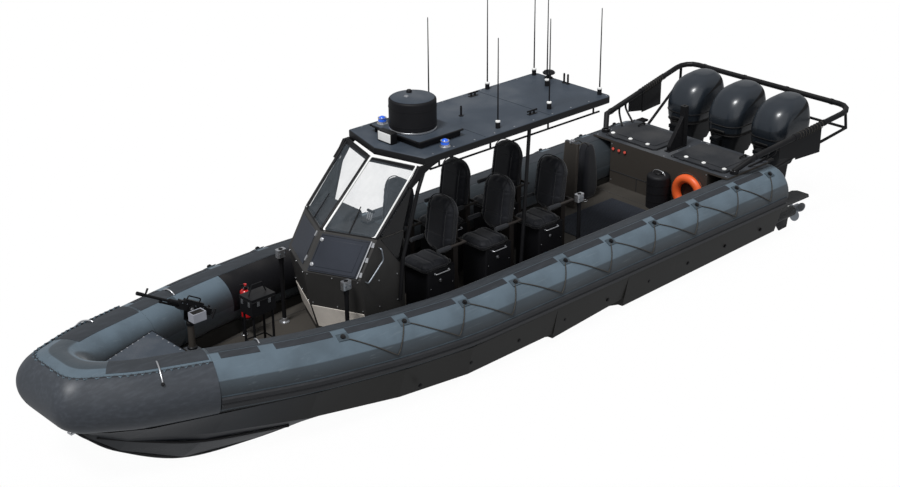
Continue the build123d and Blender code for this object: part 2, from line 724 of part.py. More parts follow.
# Foredeck plate on its post, between the bow tubes
FOREDECK_Z = 950.0
FOREDECK_T = 16.0
FOREDECK_PLAN = ((3380.0, 335.0), (4060.0, 105.0))
FOREDECK_POST_X = 3430.0
FOREDECK_POST_Z = 347.0
with BuildPart() as foredeck:
    with BuildSketch(Plane.XY.offset(FOREDECK_Z - FOREDECK_T)):
        with BuildLine():
            Polyline(*FOREDECK_PLAN, *[(x, -y) for x, y in reversed(FOREDECK_PLAN)], close=True)
        make_face()
    extrude(amount=FOREDECK_T)
    with BuildSketch(Plane.XY.offset(FOREDECK_POST_Z)):
        with Locations((FOREDECK_POST_X, 0)):
            Rectangle(30, 200)
    extrude(amount=FOREDECK_Z - FOREDECK_T - FOREDECK_POST_Z)
keep(foredeck.part, "foredeck")

# Bow pedestal with the traversing yoke, tray and gun
PEDESTAL_X = 3140.0
PEDESTAL_HALF = 65.0
PEDESTAL_BOX_TOP = 790.0
PEDESTAL_R = 34.0
PEDESTAL_TOP = 1090.0
YOKE_SHAFT_R = 18.0
YOKE_SHAFT_L = 110.0
GUN_PIVOT_Z = 1240.0
GUN_RISE = 30.0
TRUNNION_R = 11.0
CHEEK_IN = 40.0
CHEEK_T = 11.0
YOKE_BASE_T = 22.0
with BuildPart() as bow_pedestal:
    with Locations((PEDESTAL_X, 0, DECK_Z)):
        Box(
            2 * PEDESTAL_HALF,
            2 * PEDESTAL_HALF,
            PEDESTAL_BOX_TOP - DECK_Z,
            align=(Align.CENTER, Align.CENTER, Align.MIN),
        )
        Cylinder(PEDESTAL_R, PEDESTAL_TOP - DECK_Z, align=(Align.CENTER, Align.CENTER, Align.MIN))
    with Locations((PEDESTAL_X, 0, PEDESTAL_TOP)):
        Hole(YOKE_SHAFT_R + PIN_PLAY, depth=YOKE_SHAFT_L + RUN)
keep(bow_pedestal.part, "bow_pedestal")

with BuildPart() as gun_yoke:
    with Locations((PEDESTAL_X, 0, PEDESTAL_TOP + RUN)):
        Box(64, 2 * (CHEEK_IN + CHEEK_T), YOKE_BASE_T, align=(Align.CENTER, Align.CENTER, Align.MIN))
        Cylinder(YOKE_SHAFT_R, YOKE_SHAFT_L, align=(Align.CENTER, Align.CENTER, Align.MAX))
    for name, side in SIDES:
        cheek_low = PEDESTAL_TOP + RUN + YOKE_BASE_T
        with BuildSketch(along(side * (CHEEK_IN + CHEEK_T / 2))):
            with BuildLine():
                Polyline(
                    (PEDESTAL_X - 42, cheek_low - 10),
                    (PEDESTAL_X + 42, cheek_low - 10),
                    (PEDESTAL_X + 26, GUN_PIVOT_Z + 28),
                    (PEDESTAL_X - 26, GUN_PIVOT_Z + 28),
                    close=True,
                )
            make_face()
            with Locations((PEDESTAL_X, GUN_PIVOT_Z)):
                Circle(TRUNNION_R + PIN_PLAY, mode=Mode.SUBTRACT)
        extrude(amount=CHEEK_T / 2, both=True)
keep(gun_yoke.part, "gun_yoke")

TRAY_Y = CHEEK_IN + CHEEK_T + 8
with BuildPart() as gun_tray:
    with Locations((PEDESTAL_X - 20, TRAY_Y, GUN_PIVOT_Z - 105)):
        Box(150, 95, 90, align=(Align.CENTER, Align.MIN, Align.MIN))
    with Locations((PEDESTAL_X, CHEEK_IN + CHEEK_T + 0.5, GUN_PIVOT_Z - 70)):
        Box(60, 20, 30, align=(Align.CENTER, Align.MIN, Align.MIN))
keep(gun_tray.part, "gun_tray")

rise = radians(GUN_RISE)
GUN_PLANE = Plane(
    origin=(PEDESTAL_X, 0, GUN_PIVOT_Z),
    x_dir=(cos(rise), 0, sin(rise)),
    z_dir=(-sin(rise), 0, cos(rise)),
)
BORE_UP = 18.0
with BuildPart(GUN_PLANE) as gun:
    with Locations((-20, 0, BORE_UP - 6)):
        Box(330, 58, 92)
    with Locations((-30, 0, BORE_UP + 48)):
        Box(230, 48, 26)
    with Locations((145, 0, BORE_UP)):
        Cylinder(15, 440, rotation=(0, 90, 0), align=(Align.CENTER, Align.CENTER, Align.MIN))
        Cylinder(26, 120, rotation=(0, 90, 0), align=(Align.CENTER, Align.CENTER, Align.MIN))
    with Locations((585, 0, BORE_UP)):
        Cylinder(19, 75, rotation=(0, 90, 0), align=(Align.CENTER, Align.CENTER, Align.MIN))
    with Locations((140, 0, BORE_UP - 30)):
        Cylinder(11, 230, rotation=(0, 90, 0), align=(Align.CENTER, Align.CENTER, Align.MIN))
    with Locations((360, 0, BORE_UP - 16)):
        Box(26, 20, 50)
    with Locations((560, 0, BORE_UP + 10)):
        Box(16, 12, 62, align=(Align.CENTER, Align.CENTER, Align.MIN))
    with Locations((-180, 0, BORE_UP - 8)):
        Box(90, 40, 66, align=(Align.MAX, Align.CENTER, Align.CENTER))
    with Locations((-276, 0, BORE_UP - 8)):
        Box(18, 120, 26)
    with Locations((-276, 52, BORE_UP - 8), (-276, -52, BORE_UP - 8)):
        Cylinder(13, 105)
    Cylinder(TRUNNION_R, 2 * (CHEEK_IN + CHEEK_T), rotation=(90, 0, 0))
keep(gun.part, "gun")

# Locker box on legs ahead of the console, extinguisher and its bar
STAND_X = 2320.0
STAND_SIZE = (300.0, 210.0, 190.0)
STAND_TOP = 1120.0
STAND_LEG_R = 13.0
with BuildPart() as bow_stand:
    with Locations((STAND_X, 0, STAND_TOP)):
        Box(*STAND_SIZE, align=(Align.CENTER, Align.CENTER, Align.MAX))
    for x in (STAND_X - 120, STAND_X + 120):
        for y in (-80, 80):
            pipe([(x, y, STAND_TOP - STAND_SIZE[2] + 5), (x, y, DECK_Z)], STAND_LEG_R)
    pipe(
        [
            (STAND_X - 110, 0, STAND_TOP - 5),
            (STAND_X - 60, 0, STAND_TOP + 110),
            (STAND_X + 60, 0, STAND_TOP + 110),
            (STAND_X + 110, 0, STAND_TOP - 5),
        ],
        7,
    )
keep(bow_stand.part, "bow_stand")

EXT_X = 2080.0
EXT_Y = -560.0
EXT_R = 58.0
EXT_LOW = 560.0
EXT_H = 330.0
with BuildPart() as extinguisher:
    with Locations((EXT_X, EXT_Y, EXT_LOW)):
        Cylinder(EXT_R, EXT_H, align=(Align.CENTER, Align.CENTER, Align.MIN))
    fillet(extinguisher.edges(), 30)
    with Locations((EXT_X, EXT_Y, EXT_LOW + EXT_H - 8)):
        Cylinder(18, 70, align=(Align.CENTER, Align.CENTER, Align.MIN))
keep(extinguisher.part, "extinguisher")

with BuildPart() as extinguisher_bar:
    with Locations((EXT_X, EXT_Y - EXT_R - 1, DECK_Z)):
        Box(50, 8, EXT_LOW + EXT_H - DECK_Z - 60, align=(Align.CENTER, Align.MAX, Align.MIN))
    with Locations((EXT_X, EXT_Y, EXT_LOW - 1)):
        Box(90, 2 * EXT_R + 4, 10, align=(Align.CENTER, Align.CENTER, Align.MAX))
keep(extinguisher_bar.part, "extinguisher_bar")

# Lifebuoy and drum in front of the stern box
BUOY_R = 185.0
BUOY_TUBE = 58.0
BUOY_Y = 555.0
BUOY_X = BOX_FRONT_X + BUOY_TUBE + 1
BUOY_Z = DECK_Z + BUOY_R + BUOY_TUBE + 30
with BuildPart(Plane(origin=(BUOY_X, BUOY_Y, BUOY_Z), x_dir=(0, 1, 0), z_dir=(1, 0, 0))) as lifebuoy:
    Torus(BUOY_R, BUOY_TUBE)
keep(lifebuoy.part, "lifebuoy")

STERN_DRUM_R = 150.0
STERN_DRUM_H = 440.0
STERN_DRUM_Y = 150.0
with BuildPart() as stern_drum:
    with Locations((BOX_FRONT_X + STERN_DRUM_R + 1, STERN_DRUM_Y, DECK_Z)):
        Cylinder(STERN_DRUM_R, STERN_DRUM_H, align=(Align.CENTER, Align.CENTER, Align.MIN))
    fillet(stern_drum.faces().sort_by(Axis.Z)[-1].edges(), 40)
keep(stern_drum.part, "stern_drum")

# Towing eye on the stem
EYE_X = 4552.0
EYE_Z = 412.0
EYE_R = 16.0
EYE_T = 20.0
with BuildPart() as bow_eye:
    with BuildSketch(along(0)):
        with BuildLine():
            Polyline((4486, 386), (4560, 376), (4592, 412), (4565, 446), (4540, 446), close=True)
        make_face()
        with Locations((EYE_X, EYE_Z)):
            Circle(EYE_R, mode=Mode.SUBTRACT)
    extrude(amount=EYE_T / 2, both=True)
keep(bow_eye.part, "bow_eye")

# Outboard engines on the stern bulkhead
ENGINES = (("port", 700.0), ("middle", 0.0), ("starboard", -700.0))
TILT_X = -5000.0
TILT_Z = 600.0
TILT_PIN_R = 22.0
BRACKET_HALF = 74.0
BRACKET_T = 20.0
BRACKET_LOW = 380.0
BRACKET_TOP = 790.0
SWIVEL_X = -5170.0
SWIVEL_R = 58.0
SWIVEL_LOW = 300.0
SWIVEL_TOP = 850.0
STEER_R = 30.0
ARM_GAP = 8.0
ARM_T = 46.0
LEG_TOP = SWIVEL_TOP + ARM_GAP + ARM_T
SHAFT_Z = -205.0
BLADE_R = 178.0
TIP_GAP = 12.0
PLATE_Z = SHAFT_Z + BLADE_R + TIP_GAP
CASE_R = 72.0
CASE_FRONT_X = -5560.0
CASE_BACK_X = -6060.0
with BuildPart() as engine_brackets:
    for name, y in ENGINES:
        with Locations((TRANSOM_X - 0.5, y, BRACKET_LOW)):
            Box(
                22,
                2 * (BRACKET_HALF + BRACKET_T) + 14,
                BRACKET_TOP - BRACKET_LOW,
                align=(Align.MAX, Align.CENTER, Align.MIN),
            )
        for edge in (-1, 1):
            with BuildSketch(along(y + edge * (BRACKET_HALF + BRACKET_T / 2))):
                with BuildLine():
                    Polyline(
                        (TRANSOM_X - 10, BRACKET_LOW + 20),
                        (TRANSOM_X - 10, BRACKET_TOP),
                        (TRANSOM_X - 70, BRACKET_TOP),
                        (TILT_X - 48, TILT_Z + 55),
                        (TILT_X - 48, TILT_Z - 55),
                        close=True,
                    )
                make_face()
                with Locations((TILT_X, TILT_Z)):
                    Circle(TILT_PIN_R + PIN_PLAY, mode=Mode.SUBTRACT)
            extrude(amount=BRACKET_T / 2, both=True)
keep(engine_brackets.part, "engine_brackets")

COWL_COLUMNS = ("z", "front_x", "back_x", "width", "round")
COWL = (
    (LEG_TOP + 1, -5250.0, -5976.0, 484.0, 165.0),
    (1010.0, -5232.0, -5998.0, 512.0, 185.0),
    (1170.0, -5238.0, -6022.0, 540.0, 195.0),
    (1350.0, -5322.0, -6014.0, 496.0, 190.0),
    (1450.0, -5440.0, -5984.0, 410.0, 165.0),
    (1512.0, -5600.0, -5916.0, 262.0, 110.0),
)
PROP_FRONT_X = CASE_BACK_X - 8
PROP_L = 140.0
PROP_HUB = 58.0
BLADE_HALF = 62.0
BLADE_ROOT = 30.0
BLADE_T = 10.0
BLADE_PITCH = 35.0
for name, y in ENGINES:
    with BuildPart() as swivel:
        with Locations((TILT_X, y, TILT_Z)):
            Cylinder(54, 2 * (BRACKET_HALF - ARM_GAP), rotation=(90, 0, 0))
            Cylinder(TILT_PIN_R, 2 * (BRACKET_HALF + BRACKET_T), rotation=(90, 0, 0))
        with Locations(((TILT_X + SWIVEL_X) / 2, y, TILT_Z)):
            Box(TILT_X - SWIVEL_X, 120, 96)
        with Locations((SWIVEL_X, y, SWIVEL_LOW)):
            Cylinder(SWIVEL_R, SWIVEL_TOP - SWIVEL_LOW, align=(Align.CENTER, Align.CENTER, Align.MIN))
        with Locations((SWIVEL_X, y, SWIVEL_TOP)):
            Hole(STEER_R + PIN_PLAY, depth=SWIVEL_TOP - SWIVEL_LOW)
    keep(swivel.part, f"swivel_{name}")

    with BuildPart() as leg:
        with Locations((SWIVEL_X, y, SWIVEL_LOW - ARM_GAP - ARM_T)):
            shaft_run = LEG_TOP - SWIVEL_LOW + ARM_GAP + ARM_T
            Cylinder(STEER_R, shaft_run, align=(Align.CENTER, Align.CENTER, Align.MIN))
        for z in (SWIVEL_TOP + ARM_GAP, SWIVEL_LOW - ARM_GAP - ARM_T):
            with Locations((SWIVEL_X + 45, y, z)):
                Box(270, 110, ARM_T, align=(Align.MAX, Align.CENTER, Align.MIN))
        for z, front_x, back_x, width, corner in (
            (LEG_TOP, -5290.0, -5760.0, 300.0, 90.0),
            (400.0, -5330.0, -5740.0, 210.0, 80.0),
            (PLATE_Z, -5430.0, -5800.0, 110.0, 45.0),
        ):
            with BuildSketch(Plane.XY.offset(z)):
                with Locations(((front_x + back_x) / 2, y)):
                    RectangleRounded(front_x - back_x, width, corner)
        loft(ruled=True)
        with BuildSketch(Plane.XY.offset(PLATE_Z)):
            with BuildLine():
                half = [(-5480, 40), (-5700, 130), (-6230, 140), (-6290, 90)]
                other = [(px, -py) for px, py in reversed(half)]
                Polyline(*[(px, y + py) for px, py in half + other], close=True)
            make_face()
        extrude(amount=14)
        with Locations(((CASE_FRONT_X + CASE_BACK_X) / 2, y, SHAFT_Z)):
            Cylinder(CASE_R, CASE_FRONT_X - CASE_BACK_X, rotation=(0, 90, 0))
        with Locations((CASE_FRONT_X, y, SHAFT_Z)):
            Sphere(CASE_R)
        with BuildSketch(along(y)):
            with BuildLine():
                web = [(-5470, PLATE_Z + 5), (-5580, SHAFT_Z), (-6000, SHAFT_Z), (-5830, PLATE_Z + 5)]
                Polyline(*web, close=True)
            make_face()
        extrude(amount=42, both=True)
        with BuildSketch(along(y)):
            with BuildLine():
                Polyline((-5620, SHAFT_Z), (-5790, -420), (-5955, -412), (-5990, SHAFT_Z), close=True)
            make_face()
        extrude(amount=9, both=True)
    keep(leg.part, f"leg_{name}")

    with BuildPart() as cowl:
        for z, front_x, back_x, width, corner in COWL:
            with BuildSketch(Plane.XY.offset(z)):
                with Locations(((front_x + back_x) / 2, y)):
                    RectangleRounded(front_x - back_x, width, corner)
        loft()
        fillet(cowl.faces().sort_by(Axis.Z)[-1].edges(), 14)
    keep(cowl.part, f"cowl_{name}")

    hub = Plane(origin=(PROP_FRONT_X, y, SHAFT_Z), x_dir=(0, 1, 0), z_dir=(-1, 0, 0))
    with BuildPart() as propeller:
        with Locations(hub):
            Cylinder(PROP_HUB, PROP_L, align=(Align.CENTER, Align.CENTER, Align.MIN))
        pitch = radians(BLADE_PITCH)
        reach = (BLADE_R - PROP_HUB + BLADE_ROOT) / 2
        for turn in (90, 210, 330):
            spoke = hub.x_dir * cos(radians(turn)) + hub.y_dir * sin(radians(turn))
            swing = hub.z_dir.cross(spoke)
            middle = hub.origin + hub.z_dir * (PROP_L / 2) + spoke * (BLADE_R - reach)
            face = Plane(origin=middle, x_dir=spoke, z_dir=hub.z_dir * cos(pitch) + swing * sin(pitch))
            with BuildSketch(face):
                Ellipse(reach, BLADE_HALF)
            extrude(amount=BLADE_T / 2, both=True)
    keep(propeller.part, f"propeller_{name}")
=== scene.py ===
from math import cos, pi, radians, sin

import bmesh
import bpy
from mathutils import Matrix, Vector


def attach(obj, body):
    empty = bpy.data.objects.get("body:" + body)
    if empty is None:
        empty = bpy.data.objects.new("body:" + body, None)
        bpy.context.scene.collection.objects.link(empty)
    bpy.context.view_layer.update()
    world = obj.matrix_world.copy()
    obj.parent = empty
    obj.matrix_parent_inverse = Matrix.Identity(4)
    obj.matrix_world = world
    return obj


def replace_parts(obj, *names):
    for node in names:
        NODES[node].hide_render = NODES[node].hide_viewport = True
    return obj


bl_info = {
    "name": "Rigid inflatable patrol boat",
    "version": (1, 0, 0),
    "blender": (4, 5, 0),
    "location": "View3D > Sidebar > Patrol boat",
    "description": "Dresses the solids of a rigid inflatable patrol boat",
    "category": "Object",
}

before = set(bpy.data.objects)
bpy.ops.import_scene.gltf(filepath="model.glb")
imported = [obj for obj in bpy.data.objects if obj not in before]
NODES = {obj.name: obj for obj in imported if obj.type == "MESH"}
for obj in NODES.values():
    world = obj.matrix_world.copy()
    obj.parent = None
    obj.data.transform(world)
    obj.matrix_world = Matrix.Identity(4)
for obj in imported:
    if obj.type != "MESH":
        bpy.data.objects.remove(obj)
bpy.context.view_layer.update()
SIDES = (("port", 1), ("starboard", -1))
ENGINES = (("port", 0.7), ("middle", 0.0), ("starboard", -0.7))
ROOT = "boat"
UP = Vector((0, 0, 1))
AHEAD = Vector((1, 0, 0))
PORT = Vector((0, 1, 0))
DECK_Z = 0.34


def tint(red, green, blue):
    """A colour written in screen values, as the shader takes it."""
    shares = [value / 255 for value in (red, green, blue)]
    return [s / 12.92 if s <= 0.04045 else ((s + 0.055) / 1.055) ** 2.4 for s in shares] + [1.0]


def shade(colour, factor):
    """The same colour, lighter or darker."""
    return [min(1.0, channel * factor) for channel in colour[:3]] + [1.0]


def paint_prop(title, text, colour):
    """A colour that a user may change."""
    return bpy.props.FloatVectorProperty(
        name=title, description=text, subtype="COLOR", size=4, min=0, max=1, default=colour
    )


def length_prop(title, text, value):
    """A length that a user may change."""
    return bpy.props.FloatProperty(name=title, description=text, default=value, min=0.0, unit="LENGTH")


class BoatColours(bpy.types.PropertyGroup):
    """Colours of the boat's finishes."""

    fabric: paint_prop("Tube fabric", "Blue-grey coated fabric of the tubes", tint(60, 69, 76))
    # The band is partly the fabric's own lighter tone and partly a painted highlight where light from above
    # falls on the outer shoulder.
    fabric_lit: paint_prop("Tube band", "Lighter band on the tubes' outer shoulder", tint(89, 104, 115))
    # The belly is partly the fabric's own darker tone and partly painted shade on the side that faces down.
    fabric_low: paint_prop("Tube belly", "Darker fabric below the band", tint(43, 49, 54))
    patch: paint_prop("Wear patches", "Charcoal wear patches on the tubes", tint(46, 49, 54))
    strip: paint_prop("Wear strip", "Grey strip along the tubes' crown", tint(54, 58, 63))
    bumper: paint_prop("Bow cover", "Charcoal rubber of the bow cover", tint(62, 66, 72))
    hull: paint_prop("Topsides", "Near-black brown hull paint", tint(36, 35, 33))
    bottom: paint_prop("Bottom", "Slate paint below the chine", tint(28, 31, 36))
    deck: paint_prop("Deck", "Brown-grey non-slip deck", tint(58, 55, 51))
    box: paint_prop("Stern box", "Brown-grey satin paint", tint(62, 58, 54))
    panel: paint_prop("Panels", "Slate paint of the hardtop and the lids", tint(59, 67, 77))
    black: paint_prop("Black metal", "Satin black of rails and posts", tint(22, 22, 24))
    vinyl: paint_prop("Seats", "Black-navy seat vinyl", tint(14, 16, 23))
    cowl: paint_prop("Cowls", "Gloss black-blue of the engine cowls", tint(27, 32, 38))
    buoy: paint_prop("Lifebuoy", "Orange shell of the lifebuoy", tint(236, 100, 48))
    # The kick panel's near-white is partly its pale paint and partly a painted highlight for the sun on its
    # face.
    kick: paint_prop("Kick panel", "Pale panel at the foot of the console", tint(232, 224, 214))


class BoatSizes(bpy.types.PropertyGroup):
    """Sizes of the pieces that dress the boat."""

    rope: length_prop("Grab line", "Radius of the grab line on the tubes", 0.006)
    pad: length_prop("Rope pad", "Side of a rope pad on the tubes", 0.12)
    tape: length_prop("Seam tape", "Width of the tape over a tube seam", 0.055)
    patch_lift: length_prop("Patch thickness", "Height of a wear patch above the tube", 0.003)
    strake: length_prop("Strake height", "Height of the rub strakes above the tube", 0.022)
    # The caps' white is a painted reflection of their bright metal.
    cap: length_prop("Hinge cap", "Radius of the white caps on the lids", 0.028)
    floor: length_prop("Floor", "Radius of the floor", 30.0)


def colours():
    return bpy.context.scene.boat_colours


def sizes():
    return bpy.context.scene.boat_sizes


class Sock:
    """A shader socket that takes part in sums as a number does."""

    def __init__(self, paint, socket):
        self.paint = paint
        self.socket = socket

    def sum(self, operation, first, second):
        return self.paint.node("ShaderNodeMath", {"operation": operation}, {0: first, 1: second})

    def __add__(self, other):
        return self.sum("ADD", self, other)

    def __radd__(self, other):
        return self.sum("ADD", other, self)

    def __sub__(self, other):
        return self.sum("SUBTRACT", self, other)

    def __rsub__(self, other):
        return self.sum("SUBTRACT", other, self)

    def __mul__(self, other):
        return self.sum("MULTIPLY", self, other)

    def __rmul__(self, other):
        return self.sum("MULTIPLY", other, self)

    def __truediv__(self, other):
        return self.sum("DIVIDE", self, other)


class Paint:
    """A material, or a world, and the one way its nodes are made."""

    def __init__(self, name, tree=None):
        self.material = None
        if tree is None:
            self.material = bpy.data.materials.new(name)
            self.material.use_nodes = True
            tree = self.material.node_tree
        self.tree = tree
        self.tree.nodes.clear()

    def node(self, kind, settings=None, sockets=None, out=0):
        made = self.tree.nodes.new(kind)
        for key, value in (settings or {}).items():
            setattr(made, key, value)
        for key, value in (sockets or {}).items():
            if isinstance(value, Sock):
                self.tree.links.new(value.socket, made.inputs[key])
            else:
                made.inputs[key].default_value = value
        return Sock(self, made.outputs[out])

    def place(self):
        return self.node("ShaderNodeTexCoord", out="Object")

    def stretched(self, scale):
        return self.node("ShaderNodeMapping", None, {"Vector": self.place(), "Scale": scale})

    def parts(self, vector):
        split = self.node("ShaderNodeSeparateXYZ", None, {0: vector})
        outs = split.socket.node.outputs
        return [Sock(self, outs[i]) for i in range(3)]

    def noise(self, vector, scale, detail=4.0, rough=0.55):
        sockets = {"Vector": vector, "Scale": scale, "Detail": detail, "Roughness": rough}
        return self.node("ShaderNodeTexNoise", None, sockets)

    def ramp(self, value, low, high):
        return self.node(
            "ShaderNodeMapRange",
            {"interpolation_type": "SMOOTHSTEP"},
            {"Value": value, "From Min": low, "From Max": high},
        )

    def mix(self, factor, first, second):
        return self.node("ShaderNodeMix", {"data_type": "RGBA"}, {0: factor, 6: first, 7: second}, 2)

    def bump(self, height, strength, distance):
        return self.node(
            "ShaderNodeBump", None, {"Height": height, "Strength": strength, "Distance": distance}
        )

    def facing_up(self):
        return self.parts(self.node("ShaderNodeNewGeometry", out="Normal"))[2]

    def done(self, **sockets):
        named = {key.replace("_", " "): value for key, value in sockets.items()}
        shader = self.node("ShaderNodeBsdfPrincipled", None, named)
        self.node_out(shader)
        return self.material

    def node_out(self, shader):
        out = self.tree.nodes.new("ShaderNodeOutputMaterial")
        self.tree.links.new(shader.socket, out.inputs[0])


def painted(name, colour, rough=0.5, spec=0.3, grain=60.0, depth=0.0004, dust=0.10, coat=0.0):
    """Paint or plastic: clouded tone, dust on what faces up, and a fine grain."""
    p = Paint(name)
    spot = p.place()
    cloud = p.noise(spot, 1.6, 5.0)
    fine = p.noise(spot, grain, 3.0)
    streak = p.noise(p.stretched((9.0, 9.0, 0.9)), 2.2, 3.0)
    tone = p.mix(p.ramp(cloud, 0.3, 0.7), shade(colour, 0.86), shade(colour, 1.12))
    tone = p.mix(p.ramp(streak, 0.55, 0.8) * 0.22, tone, shade(colour, 0.7))
    settled = p.ramp(p.facing_up(), 0.55, 0.95) * p.ramp(cloud + fine * 0.3, 0.5, 0.9) * dust
    tone = p.mix(settled, tone, tint(170, 164, 155))
    gloss = rough + (fine - 0.5) * 0.12 + (cloud - 0.5) * 0.14
    return p.done(
        Base_Color=tone,
        Roughness=gloss,
        Specular_IOR_Level=spec,
        Coat_Weight=coat,
        Coat_Roughness=0.08,
        Normal=p.bump(fine, 0.35, depth),
    )


def gritted(name, colour):
    """Non-slip coating: a sandy grain with trodden paths."""
    p = Paint(name)
    spot = p.place()
    sand = p.node("ShaderNodeTexVoronoi", {"feature": "F1"}, {"Vector": spot, "Scale": 170.0})
    wear = p.noise(spot, 0.9, 6.0)
    fine = p.noise(spot, 240.0, 2.0)
    tone = p.mix(p.ramp(wear, 0.35, 0.7), shade(colour, 0.78), shade(colour, 1.18))
    tone = p.mix(p.ramp(fine, 0.5, 0.75) * 0.35, tone, shade(colour, 1.7))
    return p.done(
        Base_Color=tone,
        Roughness=0.78 + (wear - 0.5) * 0.2,
        Specular_IOR_Level=0.25,
        Normal=p.bump(sand, 0.5, 0.0012),
    )


def brushed(name, colour, rough=0.28):
    """Bare bright metal with fine brushing."""
    p = Paint(name)
    lines = p.noise(p.stretched((6.0, 60.0, 300.0)), 8.0, 3.0)
    cloud = p.noise(p.place(), 9.0, 4.0)
    tone = p.mix(cloud, shade(colour, 0.8), colour)
    return p.done(
        Base_Color=tone, Metallic=0.9, Roughness=rough + (lines - 0.5) * 0.3,
        Normal=p.bump(lines, 0.1, 0.0003),
    )


def coated_fabric(name, crown):
    """Tube fabric: bands that run along the tube, a woven face and faint chafe. The outer band and the belly
    are partly the fabric's own tone and partly painted light and shade; the darker inner face and aft ends
    are painted shade, and the pale forward inner shoulder is a painted highlight.
    """
    c = colours()
    p = Paint(name)
    _, around, _ = p.parts(p.node("ShaderNodeUVMap", {"uv_map": "tube"}))
    angle = around * 360.0 - 180.0
    spot = p.place()
    cloud = p.noise(spot, 2.3, 5.0)
    weave = p.node(
        "ShaderNodeTexWave", {"wave_type": "BANDS"}, {"Vector": spot, "Scale": 220.0, "Distortion": 0.6}
    )
    chafe = p.noise(p.stretched((1.0, 14.0, 14.0)), 3.0, 4.0)
    lit = p.ramp(angle, 24.0, 27.0) * (1.0 - p.ramp(angle, 80.0, 83.0))
    low = 1.0 - p.ramp(angle, -4.0, 26.0)
    ahead = p.ramp(p.parts(spot)[0], 1.2, 1.7)
    inner = p.ramp(angle, 106.0, 112.0)
    shoulder = inner * (1.0 - p.ramp(angle, 128.0, 172.0)) * ahead
    # Lighter outer band: partly the fabric's own tone, partly a painted highlight where light from above
    # falls.
    tone = p.mix(lit, list(c.fabric), list(c.fabric_lit))
    # Painted shade: the inner face, which looks into the cockpit under the crown, takes the fabric at half
    # its tone.
    tone = p.mix(inner, tone, shade(c.fabric, 0.5))
    # Painted highlight: ahead of the console the inner shoulder takes a lighter copy of the band.
    tone = p.mix(shoulder, tone, shade(c.fabric_lit, 1.12))
    # Darker belly below the band: partly the fabric's own tone, partly painted shade on the side that faces
    # down.
    tone = p.mix(low * p.ramp(angle, -120.0, -100.0), tone, list(c.fabric_low))
    # Painted shade: faces that look aft, the tube ends among them, take a darker copy of the fabric.
    aft = p.ramp(p.parts(p.node("ShaderNodeNewGeometry", out="Normal"))[0] * -1.0, 0.4, 0.5)
    tone = p.mix(aft, tone, shade(c.fabric, 0.8))
    tone = p.mix(p.ramp(cloud, 0.35, 0.75) * 0.35, tone, shade(c.fabric_low, 0.85))
    tone = p.mix(p.ramp(chafe, 0.58, 0.8) * 0.16, tone, tint(150, 160, 166))
    height = weave * 0.4 + cloud
    return p.done(
        Base_Color=tone,
        Roughness=crown + (cloud - 0.5) * 0.16,
        Specular_IOR_Level=0.32,
        Sheen_Weight=0.15,
        Normal=p.bump(height, 0.14, 0.002),
    )


def ribbed_rubber(name, colour, rough=0.55):
    """Moulded rubber with a slight ripple and scuffs."""
    p = Paint(name)
    spot = p.place()
    scuff = p.noise(p.stretched((2.0, 9.0, 9.0)), 3.0, 5.0)
    fine = p.noise(spot, 130.0, 2.0)
    tone = p.mix(p.ramp(scuff, 0.4, 0.75), shade(colour, 0.85), shade(colour, 1.15))
    return p.done(
        Base_Color=tone,
        Roughness=rough + (scuff - 0.5) * 0.25,
        Specular_IOR_Level=0.35,
        Normal=p.bump(fine + scuff, 0.16, 0.0012),
    )


def stitched_vinyl(name, colour):
    """Seat vinyl with a pebbled grain and a dull sheen."""
    p = Paint(name)
    spot = p.place()
    pebble = p.node("ShaderNodeTexVoronoi", {"feature": "F1"}, {"Vector": spot, "Scale": 320.0})
    cloud = p.noise(spot, 7.0, 4.0)
    tone = p.mix(cloud, shade(colour, 0.8), shade(colour, 1.25))
    return p.done(
        Base_Color=tone,
        Roughness=0.62 + (cloud - 0.5) * 0.2,
        Specular_IOR_Level=0.25,
        Sheen_Weight=0.2,
        Normal=p.bump(pebble, 0.3, 0.0008),
    )


def hull_coat(name):
    """Topside paint that turns to slate below the chine."""
    c = colours()
    p = Paint(name)
    spot = p.place()
    cloud = p.noise(spot, 1.2, 6.0)
    streak = p.noise(p.stretched((5.0, 5.0, 0.5)), 2.0, 4.0)
    fine = p.noise(spot, 90.0, 2.0)
    tone = p.mix(p.ramp(cloud, 0.3, 0.72), shade(c.hull, 0.85), shade(c.hull, 1.15))
    tone = p.mix(p.ramp(streak, 0.55, 0.8) * 0.3, tone, shade(c.hull, 1.5))
    under = 1.0 - p.ramp(p.facing_up(), -0.55, -0.35)
    tone = p.mix(under, tone, list(c.bottom))
    return p.done(
        Base_Color=tone,
        Roughness=0.46 + (cloud - 0.5) * 0.2,
        Specular_IOR_Level=0.3,
        Normal=p.bump(fine + cloud * 0.6, 0.12, 0.001),
    )


def pane(name, colour, alpha):
    """Screen glass with a faint smear."""
    p = Paint(name)
    smear = p.noise(p.stretched((3.0, 3.0, 1.0)), 2.0, 4.0)
    tone = p.mix(smear, shade(colour, 0.9), colour)
    return p.done(
        Base_Color=tone,
        Roughness=0.05 + smear * 0.08,
        Specular_IOR_Level=0.5,
        Alpha=alpha + (smear - 0.5) * 0.16,
    )


def lens(name, colour, glow):
    """Lamp lens with vertical flutes."""
    p = Paint(name)
    flute = p.noise(p.stretched((60.0, 60.0, 1.0)), 3.0, 1.0)
    tone = p.mix(flute, shade(colour, 0.7), shade(colour, 1.3))
    return p.done(
        Base_Color=tone,
        Roughness=0.16 + flute * 0.1,
        Coat_Weight=0.6,
        Emission_Color=tone,
        Emission_Strength=glow,
        Normal=p.bump(flute, 0.2, 0.001),
    )


def laid_rope(name, colour):
    """Rope with slanting strands."""
    p = Paint(name)
    strands = p.node(
        "ShaderNodeTexWave",
        {"wave_type": "BANDS", "bands_direction": "DIAGONAL"},
        {"Vector": p.place(), "Scale": 60.0, "Distortion": 1.0},
    )
    tone = p.mix(strands, shade(colour, 0.6), shade(colour, 1.25))
    return p.done(Base_Color=tone, Roughness=0.85, Specular_IOR_Level=0.2, Normal=p.bump(strands, 0.6, 0.002))


